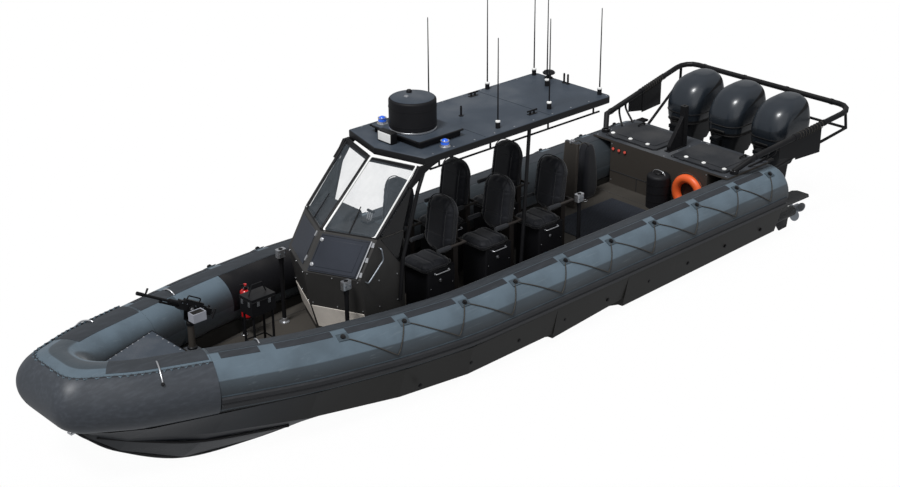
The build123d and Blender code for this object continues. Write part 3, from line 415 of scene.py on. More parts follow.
def topped(name, top, edge):
    """Paint in one colour on what faces up and in another on the edges and the sides."""
    p = Paint(name)
    spot = p.place()
    cloud = p.noise(spot, 1.3, 5.0)
    fine = p.noise(spot, 90.0, 3.0)
    tone = p.mix(p.ramp(cloud, 0.3, 0.7), shade(top, 0.84), shade(top, 1.14))
    tone = p.mix(p.ramp(cloud + fine * 0.3, 0.6, 0.95) * 0.16, tone, tint(150, 148, 144))
    tone = p.mix(p.ramp(p.facing_up(), 0.5, 0.8), edge, tone)
    return p.done(
        Base_Color=tone,
        Roughness=0.5 + (cloud - 0.5) * 0.2,
        Specular_IOR_Level=0.25,
        Normal=p.bump(fine, 0.3, 0.0005),
    )


def striped_cowl(name, colour):
    """Gloss cowl paint with a matt black stripe that rises aft, a dark sill, and a lighter top above the
    stripe that is partly two-tone paint and partly painted highlight.
    """
    p = Paint(name)
    spot = p.place()
    x, _, z = p.parts(spot)
    cloud = p.noise(spot, 2.0, 4.0)
    fine = p.noise(spot, 300.0, 2.0)
    height = z - (x + 5.46) * -0.3 - 1.262
    wide = (x + 5.48) * -0.16
    above = p.ramp(height - wide, 0.0, 0.004)
    stripe = p.ramp(height, 0.0, 0.004) * (1.0 - above) * (1.0 - p.ramp(x, -5.5, -5.47))
    sill = 1.0 - p.ramp(z, 0.955, 0.96)
    dark = p.node("ShaderNodeMath", {"operation": "MAXIMUM"}, {0: stripe, 1: sill})
    tone = p.mix(p.ramp(cloud, 0.3, 0.7), shade(colour, 0.88), shade(colour, 1.12))
    cap = p.ramp(height - wide, 0.0, 0.01)
    # Lighter top above the stripe: partly two-tone paint, partly a painted highlight where the top faces the
    # light.
    tone = p.mix(cap, tone, shade(colour, 1.5))
    tone = p.mix(dark, tone, tint(10, 10, 12))
    return p.done(
        Base_Color=tone,
        Roughness=0.34 + dark * 0.25 + (cloud - 0.5) * 0.08,
        Specular_IOR_Level=0.35,
        Coat_Weight=0.4 - dark * 0.4,
        Coat_Roughness=0.2,
        Normal=p.bump(fine, 0.1, 0.0002),
    )


FINISHES = {}


def make_finishes():
    """Every finish of the boat, by its plain name."""
    c = colours()
    FINISHES.update(
        hull=hull_coat("hull_paint"),
        deck=gritted("deck_grit", list(c.deck)),
        fabric=coated_fabric("tube_fabric", 0.5),
        patch=ribbed_rubber("wear_patch", list(c.patch), 0.7),
        strip=ribbed_rubber("crown_strip", list(c.strip), 0.66),
        bumper=ribbed_rubber("bow_cover", list(c.bumper), 0.42),
        strake=ribbed_rubber("strake_rubber", tint(42, 43, 46), 0.5),
        tape=ribbed_rubber("seam_tape", tint(66, 77, 85), 0.5),
        box=topped("box_paint", tint(54, 57, 62), list(c.box)),
        console=painted("console_paint", tint(55, 54, 53), 0.48, 0.25),
        hatch=painted("hatch_paint", tint(42, 46, 55), 0.42, 0.3),
        hatch_edge=painted("hatch_edge", tint(34, 36, 42), 0.45, 0.3),
        panel=painted("panel_paint", list(c.panel), 0.46, 0.3, dust=0.12),
        roof=topped("roof_paint", list(c.panel), list(c.black)),
        roof_edge=painted("roof_seam", shade(c.panel, 0.55), 0.5, 0.3),
        lid=painted("lid_paint", tint(40, 42, 46), 0.5, 0.22, dust=0.06),
        black=painted("black_metal", list(c.black), 0.45, 0.18, 120.0, 0.0002, 0.04),
        plastic=painted("black_plastic", tint(24, 24, 27), 0.55, 0.18, 200.0, 0.0003, 0.05),
        tower=painted("tower_paint", tint(42, 38, 36), 0.5, 0.22),
        vinyl=stitched_vinyl("seat_vinyl", list(c.vinyl)),
        piping=stitched_vinyl("seat_piping", shade(c.vinyl, 0.6)),
        armrest=stitched_vinyl("arm_pad_vinyl", tint(30, 32, 37)),
        glass=pane("screen_glass", tint(120, 130, 138), 0.12),
        tinted=pane("quarter_glass", tint(14, 14, 15), 0.92),
        bright=brushed("bright_metal", tint(220, 221, 224)),
        steel=brushed("prop_steel", tint(150, 156, 164), 0.34),
        tray=painted("tray_paint", tint(158, 160, 168), 0.45, 0.3),
        red=painted("red_paint", tint(196, 26, 30), 0.3, 0.5, 60.0, 0.0002, 0.02, 0.4),
        buoy=painted("buoy_shell", list(c.buoy), 0.42, 0.4, 120.0, 0.0003, 0.04),
        engine=painted("engine_metal", tint(18, 20, 23), 0.45, 0.16, 140.0, 0.0002, 0.04),
        cowl=striped_cowl("cowl_gloss", list(c.cowl)),
        slot=painted("slot_black", tint(14, 14, 16), 0.6, 0.2),
        # Near-white kick panel: partly pale paint, partly a painted highlight for the sun on its face.
        kick=painted("kick_panel", list(c.kick), 0.5, 0.3, dust=0.0),
        # Painted reflection: this white stands in for the glint on bright metal and glass (lid caps, port
        # pane edge, whip collars, floodlight lens).
        seal=painted("painted_glare_white", tint(242, 242, 240), 0.5, 0.3, dust=0.0),
        mat=ribbed_rubber("deck_mat", tint(36, 40, 48), 0.8),
        rope=laid_rope("grab_rope", tint(66, 63, 59)),
        lace=laid_rope("lace_cord", tint(98, 114, 124)),
        beacon=lens("beacon_lens", tint(40, 96, 214), 0.25),
        lamp=lens("deck_lamp", tint(196, 84, 72), 0.2),
        screen=painted("display_face", tint(20, 26, 34), 0.12, 0.5, 20.0, 0.0, 0.0, 0.5),
    )


def outward(mesh, merge):
    """Merge doubles and turn every face of a closed mesh outwards."""
    work = bmesh.new()
    work.from_mesh(mesh)
    if merge:
        bmesh.ops.remove_doubles(work, verts=work.verts, dist=merge)
    bmesh.ops.recalc_face_normals(work, faces=work.faces)
    work.to_mesh(mesh)
    work.free()


def put(name, data):
    """A new object in the scene."""
    piece = bpy.data.objects.new(name, data)
    bpy.context.scene.collection.objects.link(piece)
    return piece


def flatten(piece):
    """Make what the modifiers give the piece's own plain mesh."""
    view = bpy.context.evaluated_depsgraph_get()
    plain = bpy.data.meshes.new_from_object(piece.evaluated_get(view))
    piece.modifiers.clear()
    piece.data = plain
    return plain


def circle(x, y, z, radius, count):
    """Points round a level circle."""
    turns = [2 * pi * k / count for k in range(count)]
    return [(x + radius * cos(turn), y + radius * sin(turn), z) for turn in turns]


SLOTS = {
    "black": "black_metal",
    "bright": "bright_metal",
    "plastic": "black_plastic",
    "slot": "black_plastic",
    "mat": "black_plastic",
    "patch": "bumper_rubber",
    "strip": "bumper_rubber",
    "strake": "bumper_rubber",
    "bumper": "bumper_rubber",
    "tape": "tube_fabric",
    "lace": "tube_fabric",
    "vinyl": "seat_vinyl",
    "piping": "seat_vinyl",
    "armrest": "seat_vinyl",
}


def settle(piece, finish, body, slot, angle=38.0):
    """Shade a finished piece, give it its finish, and let it ride on its body."""
    mesh = piece.data
    mesh.shade_smooth()
    mesh.set_sharp_from_angle(angle=radians(angle))
    mesh.materials.clear()
    mesh.materials.append(FINISHES[finish])
    slot = slot or SLOTS.get(finish)
    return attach(piece, body)


class Shape:
    """Corners and faces of a piece while it is put together."""

    def __init__(self):
        self.corners = []
        self.faces = []

    def add(self, corners, faces):
        first = len(self.corners)
        self.corners += [Vector(corner) for corner in corners]
        self.faces += [[first + i for i in face] for face in faces]
        return self

    def slab(self, outline, lift):
        """A plate: a flat outline pushed out along lift."""
        n = len(outline)
        low = [Vector(point) for point in outline]
        high = [point + Vector(lift) for point in low]
        walls = [[i, (i + 1) % n, n + (i + 1) % n, n + i] for i in range(n)]
        return self.add(low + high, [list(range(n))[::-1], list(range(n, 2 * n))] + walls)

    def block(self, low, high):
        (x0, y0, z0), (x1, y1, z1) = low, high
        return self.slab([(x0, y0, z0), (x1, y0, z0), (x1, y1, z0), (x0, y1, z0)], (0, 0, z1 - z0))

    def rings(self, rows):
        """A skin over rings of equal count, closed round each ring."""
        n = len(rows[0])
        faces = []
        for r in range(len(rows) - 1):
            faces += [
                [r * n + i, r * n + (i + 1) % n, (r + 1) * n + (i + 1) % n, (r + 1) * n + i] for i in range(n)
            ]
        faces += [list(range(n))[::-1], [(len(rows) - 1) * n + i for i in range(n)]]
        return self.add([point for row in rows for point in row], faces)

    def turned(self, profile, base, sides=28, axis=UP):
        """A turned piece: (radius, height) pairs round an axis."""
        axis = Vector(axis).normalized()
        first = axis.orthogonal().normalized()
        second = axis.cross(first)
        rows = []
        for radius, height in profile:
            centre = Vector(base) + axis * height
            spokes = [2 * pi * i / sides for i in range(sides)]
            rows.append([centre + (first * cos(a) + second * sin(a)) * max(radius, 1e-5) for a in spokes])
        return self.rings(rows)

    def make(self, name, finish, body=ROOT, slot=None, bevel=0.0, angle=38.0, merge=0.0):
        mesh = bpy.data.meshes.new(name)
        mesh.from_pydata(self.corners, [], self.faces)
        outward(mesh, merge)
        piece = put(name, mesh)
        if bevel:
            soft = piece.modifiers.new("soft_edges", "BEVEL")
            soft.width = bevel
            soft.segments = 2
            soft.limit_method = "ANGLE"
            soft.angle_limit = radians(35)
        return settle(piece, finish, body, slot, angle)


class Growth:
    """A Geometry Nodes tree with named inputs, ending in one plain, finished mesh."""

    def __init__(self, name, inputs):
        self.tree = bpy.data.node_groups.new(name, "GeometryNodeTree")
        face = self.tree.interface
        face.new_socket("Geometry", in_out="INPUT", socket_type="NodeSocketGeometry")
        face.new_socket("Geometry", in_out="OUTPUT", socket_type="NodeSocketGeometry")
        for label, kind in inputs + [("Finish", "NodeSocketMaterial")]:
            face.new_socket(label, in_out="INPUT", socket_type=kind)
        self.entry = self.tree.nodes.new("NodeGroupInput")

    def node(self, kind, settings=None, sockets=None, out=0):
        made = self.tree.nodes.new(kind)
        for key, value in (settings or {}).items():
            setattr(made, key, value)
        for key, value in (sockets or {}).items():
            if isinstance(value, bpy.types.NodeSocket):
                self.tree.links.new(value, made.inputs[key])
            else:
                made.inputs[key].default_value = value
        return made.outputs[out]

    def take(self, label):
        return self.entry.outputs[label]

    def named(self, label):
        return self.node("GeometryNodeInputNamedAttribute", {"data_type": "FLOAT_VECTOR"}, {"Name": label})

    def spread(self, piece, turn):
        sockets = {"Points": self.take("Geometry"), "Instance": piece, "Rotation": turn}
        return self.finish(self.node("GeometryNodeInstanceOnPoints", None, sockets))

    def finish(self, geometry):
        plain = self.node("GeometryNodeRealizeInstances", None, {0: geometry})
        dressed = self.node("GeometryNodeSetMaterial", None, {0: plain, "Material": self.take("Finish")})
        out = self.tree.nodes.new("NodeGroupOutput")
        self.tree.links.new(dressed, out.inputs[0])
        return self.tree


def grow_studs():
    """Domed round heads that stand on points along their facing."""
    g = Growth("studs", [("Radius", "NodeSocketFloat"), ("Height", "NodeSocketFloat")])
    low = g.node(
        "GeometryNodeMeshCylinder", None,
        {"Vertices": 14, "Radius": g.take("Radius"), "Depth": g.take("Height")},
    )
    small = g.node("ShaderNodeMath", {"operation": "MULTIPLY"}, {0: g.take("Radius"), 1: 0.62})
    tall = g.node("ShaderNodeMath", {"operation": "MULTIPLY"}, {0: g.take("Height"), 1: 1.9})
    high = g.node("GeometryNodeMeshCylinder", None, {"Vertices": 14, "Radius": small, "Depth": tall})
    join = g.tree.nodes.new("GeometryNodeJoinGeometry")
    for part in (low, high):
        g.tree.links.new(part, join.inputs[0])
    turn = g.node("FunctionNodeAlignRotationToVector", {"axis": "Z"}, {"Vector": g.named("facing")})
    return g.spread(join.outputs[0], turn)


def grow_plates():
    """Small plates that lie on points, turned by facing and along."""
    g = Growth("plates", [("Size", "NodeSocketVector")])
    plate = g.node("GeometryNodeMeshCube", None, {"Size": g.take("Size")})
    turn = g.node(
        "FunctionNodeAxesToRotation",
        {"primary_axis": "Z", "secondary_axis": "X"},
        {"Primary Axis": g.named("facing"), "Secondary Axis": g.named("along")},
    )
    return g.spread(plate, turn)


def grow_strands():
    """Round bar, rope or wire along lines."""
    g = Growth("strands", [("Radius", "NodeSocketFloat"), ("Sides", "NodeSocketInt")])
    line = g.node("GeometryNodeMeshToCurve", None, {0: g.take("Geometry")})
    ring = g.node(
        "GeometryNodeCurvePrimitiveCircle", {"mode": "RADIUS"},
        {"Resolution": g.take("Sides"), "Radius": g.take("Radius")},
    )
    skin = g.node("GeometryNodeCurveToMesh", None, {"Curve": line, "Profile Curve": ring, "Fill Caps": True})
    return g.finish(skin)


TREES = {}


def grow(
    name, tree, points, values, finish, body=ROOT, slot=None, edges=(), facing=None, along=None, angle=38.0
):
    """Run a tree over a carrier of points and lines and keep its plain mesh."""
    carrier = bpy.data.meshes.new(name + "_carrier")
    carrier.from_pydata([Vector(p) for p in points], list(edges), [])
    for label, rows in (("facing", facing), ("along", along)):
        if rows:
            layer = carrier.attributes.new(label, "FLOAT_VECTOR", "POINT")
            layer.data.foreach_set("vector", [value for row in rows for value in row])
    piece = put(name, carrier)
    step = piece.modifiers.new("grow", "NODES")
    step.node_group = TREES[tree]
    ids = {item.name: item.identifier for item in TREES[tree].interface.items_tree if item.in_out == "INPUT"}
    for label, value in values.items():
        step[ids[label]] = value
    step[ids["Finish"]] = FINISHES[finish]
    plain = flatten(piece)
    if not plain.polygons:
        raise RuntimeError(f"{name}: the tree gave no faces")
    plain.name = name
    bpy.data.meshes.remove(carrier)
    outward(plain, 0.0)
    return settle(piece, finish, body, slot, angle)


def strands(name, lines, radius, finish, body=ROOT, slot=None, sides=10, closed=False):
    """Bars, ropes or wires along several lines, as one piece."""
    points, edges = [], []
    for line in lines:
        first = len(points)
        points += list(line)
        edges += [(first + i, first + i + 1) for i in range(len(line) - 1)]
        if closed:
            edges.append((first + len(line) - 1, first))
    return grow(
        name, "strands", points, {"Radius": radius, "Sides": sides}, finish, body, slot, edges, angle=50.0
    )


def studs(name, spots, radius, height, finish, body=ROOT, slot=None):
    """Round heads at (point, facing) spots."""
    points = [spot[0] for spot in spots]
    facing = [Vector(spot[1]).normalized() for spot in spots]
    return grow(
        name, "studs", points, {"Radius": radius, "Height": height}, finish, body, slot, facing=facing
    )


def plates(name, spots, size, finish, body=ROOT, slot=None):
    """Flat plates at (point, facing, along) spots."""
    points, facing, along = zip(*spots)
    return grow(name, "plates", points, {"Size": size}, finish, body, slot, (), facing, along)


def bent(points, steps=8):
    """A smooth line through points."""
    points = [Vector(p) for p in points]
    ends = [points[0] * 2 - points[1]] + points + [points[-1] * 2 - points[-2]]
    line = []
    for i in range(1, len(ends) - 2):
        p0, p1, p2, p3 = ends[i - 1 : i + 3]
        for k in range(steps):
            t = k / steps
            square = (p0 * 2 - p1 * 5 + p2 * 4 - p3) * t * t
            cube = (p1 * 3 - p0 - p2 * 3 + p3) * t**3
            line.append((p1 * 2 + (p2 - p0) * t + square + cube) / 2)
    return line + [points[-1]]


def knee(points, leg=0.05, steps=5):
    """A line with rounded knees between straight runs."""
    points = [Vector(p) for p in points]
    line = [points[0]]
    for before, corner, after in zip(points, points[1:], points[2:]):
        start = corner + (before - corner).normalized() * min(leg, (before - corner).length * 0.45)
        end = corner + (after - corner).normalized() * min(leg, (after - corner).length * 0.45)
        for k in range(steps + 1):
            t = k / steps
            line.append(start * (1 - t) ** 2 + corner * 2 * t * (1 - t) + end * t * t)
    return line + [points[-1]]


class Tube:
    """A buoyancy tube along a line of knees, measured by run along it and angle round it."""

    RUN = 14
    TURN = 10

    def __init__(self, line, radius, leg, side):
        self.line = [Vector(p) for p in line]
        self.radius = radius
        self.leg = leg
        self.side = side
        self.cache = {}
        self.marks = [0.0]
        for row in zip(self.curve(None, 0), self.curve(None, 0)[1:]):
            self.marks.append(self.marks[-1] + (row[1] - row[0]).length)
        self.length = self.marks[-1]

    def outs(self):
        """Level direction away from the boat at each knee, stretched for the mitre."""
        flat = [Vector((b.x - a.x, b.y - a.y, 0)).normalized() for a, b in zip(self.line, self.line[1:])]
        level = [Vector((-d.y, d.x, 0)) * self.side for d in flat]
        rows = [level[0]]
        for a, b in zip(level, level[1:]):
            middle = (a + b).normalized()
            rows.append(middle / max(0.3, middle.dot(a)))
        return rows + [level[-1]]

    def curve(self, angle, lift):
        key = (angle, lift)
        if key in self.cache:
            return self.cache[key]
        knees = self.line
        if angle is not None:
            reach = self.radius + lift
            turn = radians(angle)
            knees = [
                p + o * (reach * cos(turn)) + UP * (reach * sin(turn)) for p, o in zip(self.line, self.outs())
            ]
        rows = []
        last = knees[0]
        for i in range(1, len(knees)):
            corner = knees[i]
            inner = i < len(knees) - 1
            stop = corner
            if inner:
                back, on = knees[i - 1] - corner, knees[i + 1] - corner
                stop = corner + back.normalized() * min(self.leg, back.length * 0.45)
            rows += [last.lerp(stop, k / self.RUN) for k in range(self.RUN)]
            if inner:
                start = corner + on.normalized() * min(self.leg, on.length * 0.45)
                for k in range(self.TURN):
                    t = k / self.TURN
                    rows.append(stop * (1 - t) ** 2 + corner * 2 * t * (1 - t) + start * t * t)
                last = start
        rows.append(knees[-1])
        self.cache[key] = rows
        return rows

    def point(self, run, angle, lift=0.0):
        rows = self.curve(round(angle, 4), round(lift, 5))
        run = min(max(run, 0.0), self.length)
        i = next((k for k in range(len(rows) - 2) if self.marks[k + 1] >= run), len(rows) - 2)
        share = (run - self.marks[i]) / max(1e-9, self.marks[i + 1] - self.marks[i])
        return rows[i].lerp(rows[i + 1], share)

    def facing(self, run, angle):
        return (self.point(run, angle, 0.02) - self.point(run, angle, 0.0)).normalized()

    def along(self, run, angle):
        return (self.point(run + 0.01, angle) - self.point(run - 0.01, angle)).normalized()

    def run_at(self, x):
        """Run along the tube at which its centre line is at x."""
        low, high = 0.0, self.length
        for _ in range(40):
            middle = (low + high) / 2
            rows = self.curve(None, 0)
            i = next((k for k in range(len(rows) - 2) if self.marks[k + 1] >= middle), len(rows) - 2)
            share = (middle - self.marks[i]) / (self.marks[i + 1] - self.marks[i])
            low, high = (middle, high) if rows[i].lerp(rows[i + 1], share).x < x else (low, middle)
        return low

    def skin(self, name, finish, slot, rounds=(), sides=64):
        """The whole tube as one closed mesh with its run and angle as its map."""
        turns = [-180 + 360 * k / sides for k in range(sides + 1)]
        rows = list(rounds)
        after = rows[-1][0] if rows else -1.0
        rows += [(mark, 0.0) for mark in self.marks if mark > after]
        corners = [self.point(run, a, lift) for run, lift in rows for a in turns[:-1]]
        faces, maps = [], []
        for r in range(len(rows) - 1):
            for k in range(sides):
                n = (k + 1) % sides
                faces.append([r * sides + k, r * sides + n, (r + 1) * sides + n, (r + 1) * sides + k])
                maps += [(r, k), (r, k + 1), (r + 1, k + 1), (r + 1, k)]
        last = (len(rows) - 1) * sides
        faces += [list(range(sides)), [last + k for k in range(sides)]]
        maps += [(0, k) for k in range(sides)] + [(len(rows) - 1, k) for k in range(sides)]
        mesh = bpy.data.meshes.new(name)
        mesh.from_pydata(corners, [], faces)
        layer = mesh.uv_layers.new(name="tube")
        for loop, (r, k) in zip(layer.data, maps):
            loop.uv = (rows[r][0], (turns[k] + 180) / 360)
        outward(mesh, 0.0)
        return settle(put(name, mesh), finish, ROOT, slot, 50.0)

    def cover(self, shape, run0, run1, angles, lifts, stations=0):
        """Add to a shape a closed strip that lies on the tube: lifts at angles, along a run."""
        marks = [m for m in self.marks if run0 + 0.01 < m < run1 - 0.01]
        if stations:
            marks = [run0 + (run1 - run0) * k / stations for k in range(1, stations)]
        rows = []
        for run in [run0] + marks + [run1]:
            top = [self.point(run, a, lift) for a, lift in zip(angles, lifts)]
            under = [self.point(run, a, -0.006) for a in reversed(angles)]
            rows.append(top + under)
        return shape.rings(rows)


SEAM = (3.4006, 0.66135, 0.78055)
SIDE_LINE = (
    (-4.89, 1.13, 0.6), (0.6, 1.13, 0.6), (1.5, 1.075, 0.655), (2.5, 0.915, 0.715), (3.397, 0.6625, 0.7803)
)
BOW_LINE = (SEAM, (4.08, 0.47, 0.83), (4.54, 0.24, 0.88))
TUBE_R = 0.32
COVER_T = 0.012
PAD_ANGLE = 61.0
PAD_X = (2.1, 1.4, 0.62, -0.12, -0.9, -1.65, -2.4, -3.18, -3.95, -4.62)


def side_tube(side):
    return Tube([(x, side * y, z) for x, y, z in SIDE_LINE], TUBE_R, 0.32, side)


def bow_tube():
    line = list(BOW_LINE) + [(x, -y, z) for x, y, z in reversed(BOW_LINE)]
    return Tube(line, TUBE_R, 0.16, 1)


class BOAT_OT_finishes(bpy.types.Operator):
    """Make the finishes and give each solid its own"""

    bl_idname = "boat.finishes"
    bl_label = "Finishes of the solids"

    TABLE = {
        "hull": ("hull",),
        "deck": ("deck",),
        "box": ("stern_box", "bow_pedestal"),
        "console": ("console",),
        "hatch": ("console_hatch",),
        "roof": ("hardtop", "radar_platform"),
        "panel": ("foredeck",),
        "lid": ("lid_port", "lid_starboard"),
        "black": (
            "stern_post",
            "stern_rail",
            "rail_plates",
            "roof_posts",
            "screen_posts",
            "stanchions",
            "extinguisher_bar",
            "bow_stand",
            "gun_yoke",
            "gun",
        ),
        "plastic": ("dash", "helm_wheel", "radar_drum", "whips", "seat_boxes", "stern_drum"),
        "tower": ("seat_towers",),
        "vinyl": ("seat_cushions", "seat_backs"),
        "glass": ("screen_panes",),
        "bright": ("stanchion_clamps", "bow_eye"),
        "tray": ("gun_tray",),
        "red": ("extinguisher",),
        "buoy": ("lifebuoy",),
        "beacon": ("beacons",),
        "bumper": ("tube_bow",),
        "strake": ("rub_strakes",),
        "fabric": ("tube_port", "tube_starboard"),
        "engine": ("engine_brackets", *(f"{part}_{e}" for part in ("swivel", "leg") for e, _ in ENGINES)),
        "cowl": tuple(f"cowl_{e}" for e, _ in ENGINES),
        "steel": tuple(f"propeller_{e}" for e, _ in ENGINES),
    }

    def execute(self, context):
        make_finishes()
        TREES.update(studs=grow_studs(), plates=grow_plates(), strands=grow_strands())
        dressed = set()
        for finish, names in self.TABLE.items():
            for name in names:
                NODES[name].data.materials.clear()
                NODES[name].data.materials.append(FINISHES[finish])
                dressed.add(name)
        missed = set(NODES) - dressed
        if missed:
            raise RuntimeError(f"no finish for {sorted(missed)}")
        return {"FINISHED"}


class BOAT_OT_tubes(bpy.types.Operator):
    """Smooth tubes, bow cover and rub strakes over their solids"""

    bl_idname = "boat.tubes"
    bl_label = "Buoyancy tubes"

    STERN_ROUND = ((0.0, -0.09), (0.012, -0.045), (0.03, -0.02), (0.05, -0.006), (0.075, 0.0))
    STRAKE = (
        (-4.0, 0.0), (-5.0, 0.6), (-7.0, 1.0), (-14.0, 1.0), (-15.5, 0.4), (-18.0, 0.4), (-19.5, 1.0),
        (-28.0, 1.0), (-30.0, 0.6), (-31.0, 0.0),
    )
    COVER_TOP = 60.0
    COVER_LOW = -95.0

    def execute(self, context):
        s = sizes()
        strakes = Shape()
        for name, side in SIDES:
            tube = side_tube(side)
            piece = tube.skin(f"{name}_tube", "fabric", "tube_fabric", self.STERN_ROUND)
            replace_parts(piece, f"tube_{name}")
            angles = [a for a, _ in self.STRAKE]
            lifts = [lift * s.strake for _, lift in self.STRAKE]
            tube.cover(strakes, 0.09, tube.length - 0.005, angles, lifts)
        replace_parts(strakes.make("tube_strakes", "strake", angle=32.0), "rub_strakes")
        bow = bow_tube()
        bow.skin("bow_fabric_tube", "fabric", "tube_fabric")
        cover = Shape()
        turns = [self.COVER_TOP + (self.COVER_LOW - self.COVER_TOP) * k / 36 for k in range(37)]
        lifts = [COVER_T] * len(turns)
        bow.cover(cover, 0.0, bow.length, turns, lifts)
        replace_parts(cover.make("bow_cover_shell", "bumper", angle=50.0), "tube_bow")
        return {"FINISHED"}


class BOAT_OT_tube_trim(bpy.types.Operator):
    """Wear patches, a black sheet of painted shade, seams, rope pads, grab lines and lacing on the tubes"""

    bl_idname = "boat.tube_trim"
    bl_label = "Tube trim"

    def execute(self, context):
        s = sizes()
        patches, strips, tapes, lines, knobs, pads = Shape(), Shape(), Shape(), [], [], []
        for _, side in SIDES:
            tube = side_tube(side)
            runs = [tube.run_at(x) for x in PAD_X]
            lift = s.patch_lift
            stops = [tube.length - 0.02, tube.run_at(2.85)] + runs
            crown = [66.0 + 3 * k for k in range(6)]
            for front, back in zip(stops, stops[1:]):
                tube.cover(patches, back + 0.09, front - 0.07, crown, [lift] * len(crown))
            strip = [84.0 + 3 * k for k in range(10)]
            tube.cover(strips, 0.12, tube.length - 0.01, strip, [lift] * len(strip))
            for edge in ((-1.0, -3.5), (-33.0, -36.0)):
                tube.cover(tapes, 0.09, tube.length - 0.01, edge, [lift] * 2)
            for x in (2.95, 1.1, -0.9, -2.9, -4.55):
                middle = tube.run_at(x)
                ring = [112.0 + 6 * k for k in range(20)]
                tube.cover(tapes, middle - s.tape / 2, middle + s.tape / 2, ring, [0.0015] * len(ring), 2)
            for run in runs:
                pads.append(
                    (
                        tube.point(run, PAD_ANGLE, 0.004), tube.facing(run, PAD_ANGLE),
                        tube.along(run, PAD_ANGLE),
                    )
                )
                knobs.append((tube.point(run, PAD_ANGLE, 0.014), tube.facing(run, PAD_ANGLE)))
            for front, back in zip(runs, runs[1:]):
                lines.append(self.grab_line(tube, front, back, s.rope))
        # Painted shade: a black sheet on the starboard tube's inner face, beside the console, stands in for
        # the shade that falls there.
        shade_sheet = Shape()
        tube = side_tube(-1)
        inner = [112.0 + 5 * k for k in range(17)]
        tube.cover(shade_sheet, tube.run_at(0.9), tube.run_at(2.25), inner, [0.004] * len(inner))
        shade_sheet.make("starboard_shade_sheet", "plastic")
        patches.make("wear_patches", "patch")
        strips.make("crown_strips", "strip")
        tapes.make("seam_tapes", "tape")
        plates("rope_pads", pads, (s.pad, s.pad * 0.72, 0.008), "tape")
        studs("rope_knobs", knobs, 0.026, 0.018, "black")
        strands("grab_lines", lines, s.rope, "rope", sides=8)
        self.lacing()
        return {"FINISHED"}

    def grab_line(self, tube, front, back, rope):
        """One bight of the grab line, from a pad down to the strake and up to the next pad."""
        line = []
        steps = 26
        for k in range(steps + 1):
            t = k / steps
            drop = t / 0.74 if t < 0.74 else (1 - t) / 0.26
            run = front + (back - front) * (0.04 + 0.93 * t)
            line.append(tube.point(run, PAD_ANGLE - 4 - 53 * drop, rope + 0.002))
        return line

    def lacing(self):
        """Lacing along the bow cover's upper edge, its edge rope, a crown patch and lifting straps."""
        bow = bow_tube()
        steps = 84
        zig = []
        for k in range(steps + 1):
            run = 0.02 + (bow.length - 0.04) * k / steps
            angle = 58.0 if k % 2 else 63.5
            zig.append(bow.point(run, angle, COVER_T + 0.004 if k % 2 else 0.006))
        strands("cover_lacing", [zig], 0.0065, "lace", sides=6)
        rim = [bow.point(bow.length * k / 90, 60.5, 0.009) for k in range(91)]
        strands("cover_rim", [rim], 0.009, "patch", sides=8)
        crown = Shape()
        angles = [68.0 + 4 * k for k in range(12)]
        for run0, run1 in ((0.02, 0.95), (bow.length - 0.95, bow.length - 0.02)):
            bow.cover(crown, run0, run1, angles, [0.003] * len(angles))
        crown.make("bow_crown_strips", "strip")
        straps = []
        for run in (0.5, bow.length - 0.5):
            points = [
                bow.point(run, a, lift)
                for a, lift in ((84, 0.006), (78, 0.02), (62, 0.03), (46, 0.028), (38, 0.016))
            ]
            straps.append(bent(points, 6))
        for _, side in SIDES:
            tube = side_tube(side)
            run = tube.run_at(2.9)
            points = [
                tube.point(run, a, lift) for a, lift in ((112, 0.004), (104, 0.02), (94, 0.022), (86, 0.006))
            ]
            straps.append(bent(points, 6))
        strands("lifting_straps", straps, 0.009, "bright", sides=8)
        ends = [(bow.point(run, 37, 0.02), bow.facing(run, 37)) for run in (0.5, bow.length - 0.5)]
        studs("strap_ends", ends, 0.018, 0.016, "black")


class BOAT_OT_hull_trim(bpy.types.Operator):
    """Drain plugs, spray rails, keel band, deck mat, seams and lashing rings"""

    bl_idname = "boat.hull_trim"
    bl_label = "Hull and deck trim"

    def execute(self, context):
        plugs = []
        for side in (1, -1):
            for k in range(9):
                x = 1.3 - 0.72 * k
                plugs.append(((x, side * 1.333, 0.19), (0, side, -0.22)))
        studs("drain_plugs", plugs, 0.024, 0.012, "black")
        rails = []
        for side in (1, -1):
            rails.append(
                bent(
                    [
                        (4.33, side * 0.07, 0.285), (3.9, side * 0.24, 0.14), (3.38, side * 0.45, 0.02),
                        (2.5, side * 0.66, -0.08),
                    ],
                    8,
                )
            )
        strands("spray_rails", rails, 0.016, "black", slot="hull_paint", sides=8)
        keel = bent(
            [
                (4.5, 0, 0.39), (4.4, 0, 0.287), (4.08, 0, 0.014), (3.38, 0, -0.36), (2.5, 0, -0.51),
                (1.5, 0, -0.58),
            ],
            8,
        )
        strands("keel_band", [keel], 0.02, "black", slot="hull_paint", sides=10)
        Shape().block(
            (-3.62, -0.42, DECK_Z), (-2.38, 0.42, DECK_Z + 0.008)
        ).make("deck_mat", "mat", bevel=0.004)
        ribs = [
            [(-3.6 + 0.03 * k, -0.4, DECK_Z + 0.009), (-3.6 + 0.03 * k, 0.4, DECK_Z + 0.009)]
            for k in range(41)
        ]
        strands("mat_ribs", ribs, 0.003, "mat", sides=6)
        seams = [[(x, -0.78, DECK_Z + 0.001), (x, 0.78, DECK_Z + 0.001)] for x in (-2.1, -3.75, 1.95)]
        seams += [[(-3.75, y, DECK_Z + 0.001), (2.9, y * 0.85, DECK_Z + 0.001)] for y in (-0.72, 0.72)]
        strands("deck_seams", seams, 0.004, "box", slot="deck_coat", sides=6)
        rings = []
        for x in (-3.3, -2.5, 2.1, 2.75):
            for y in (-0.6, 0.6):
                rings.append(circle(x, y, DECK_Z + 0.008, 0.035, 20))
        strands("lashing_rings", rings, 0.005, "bright", sides=8, closed=True)
        return {"FINISHED"}


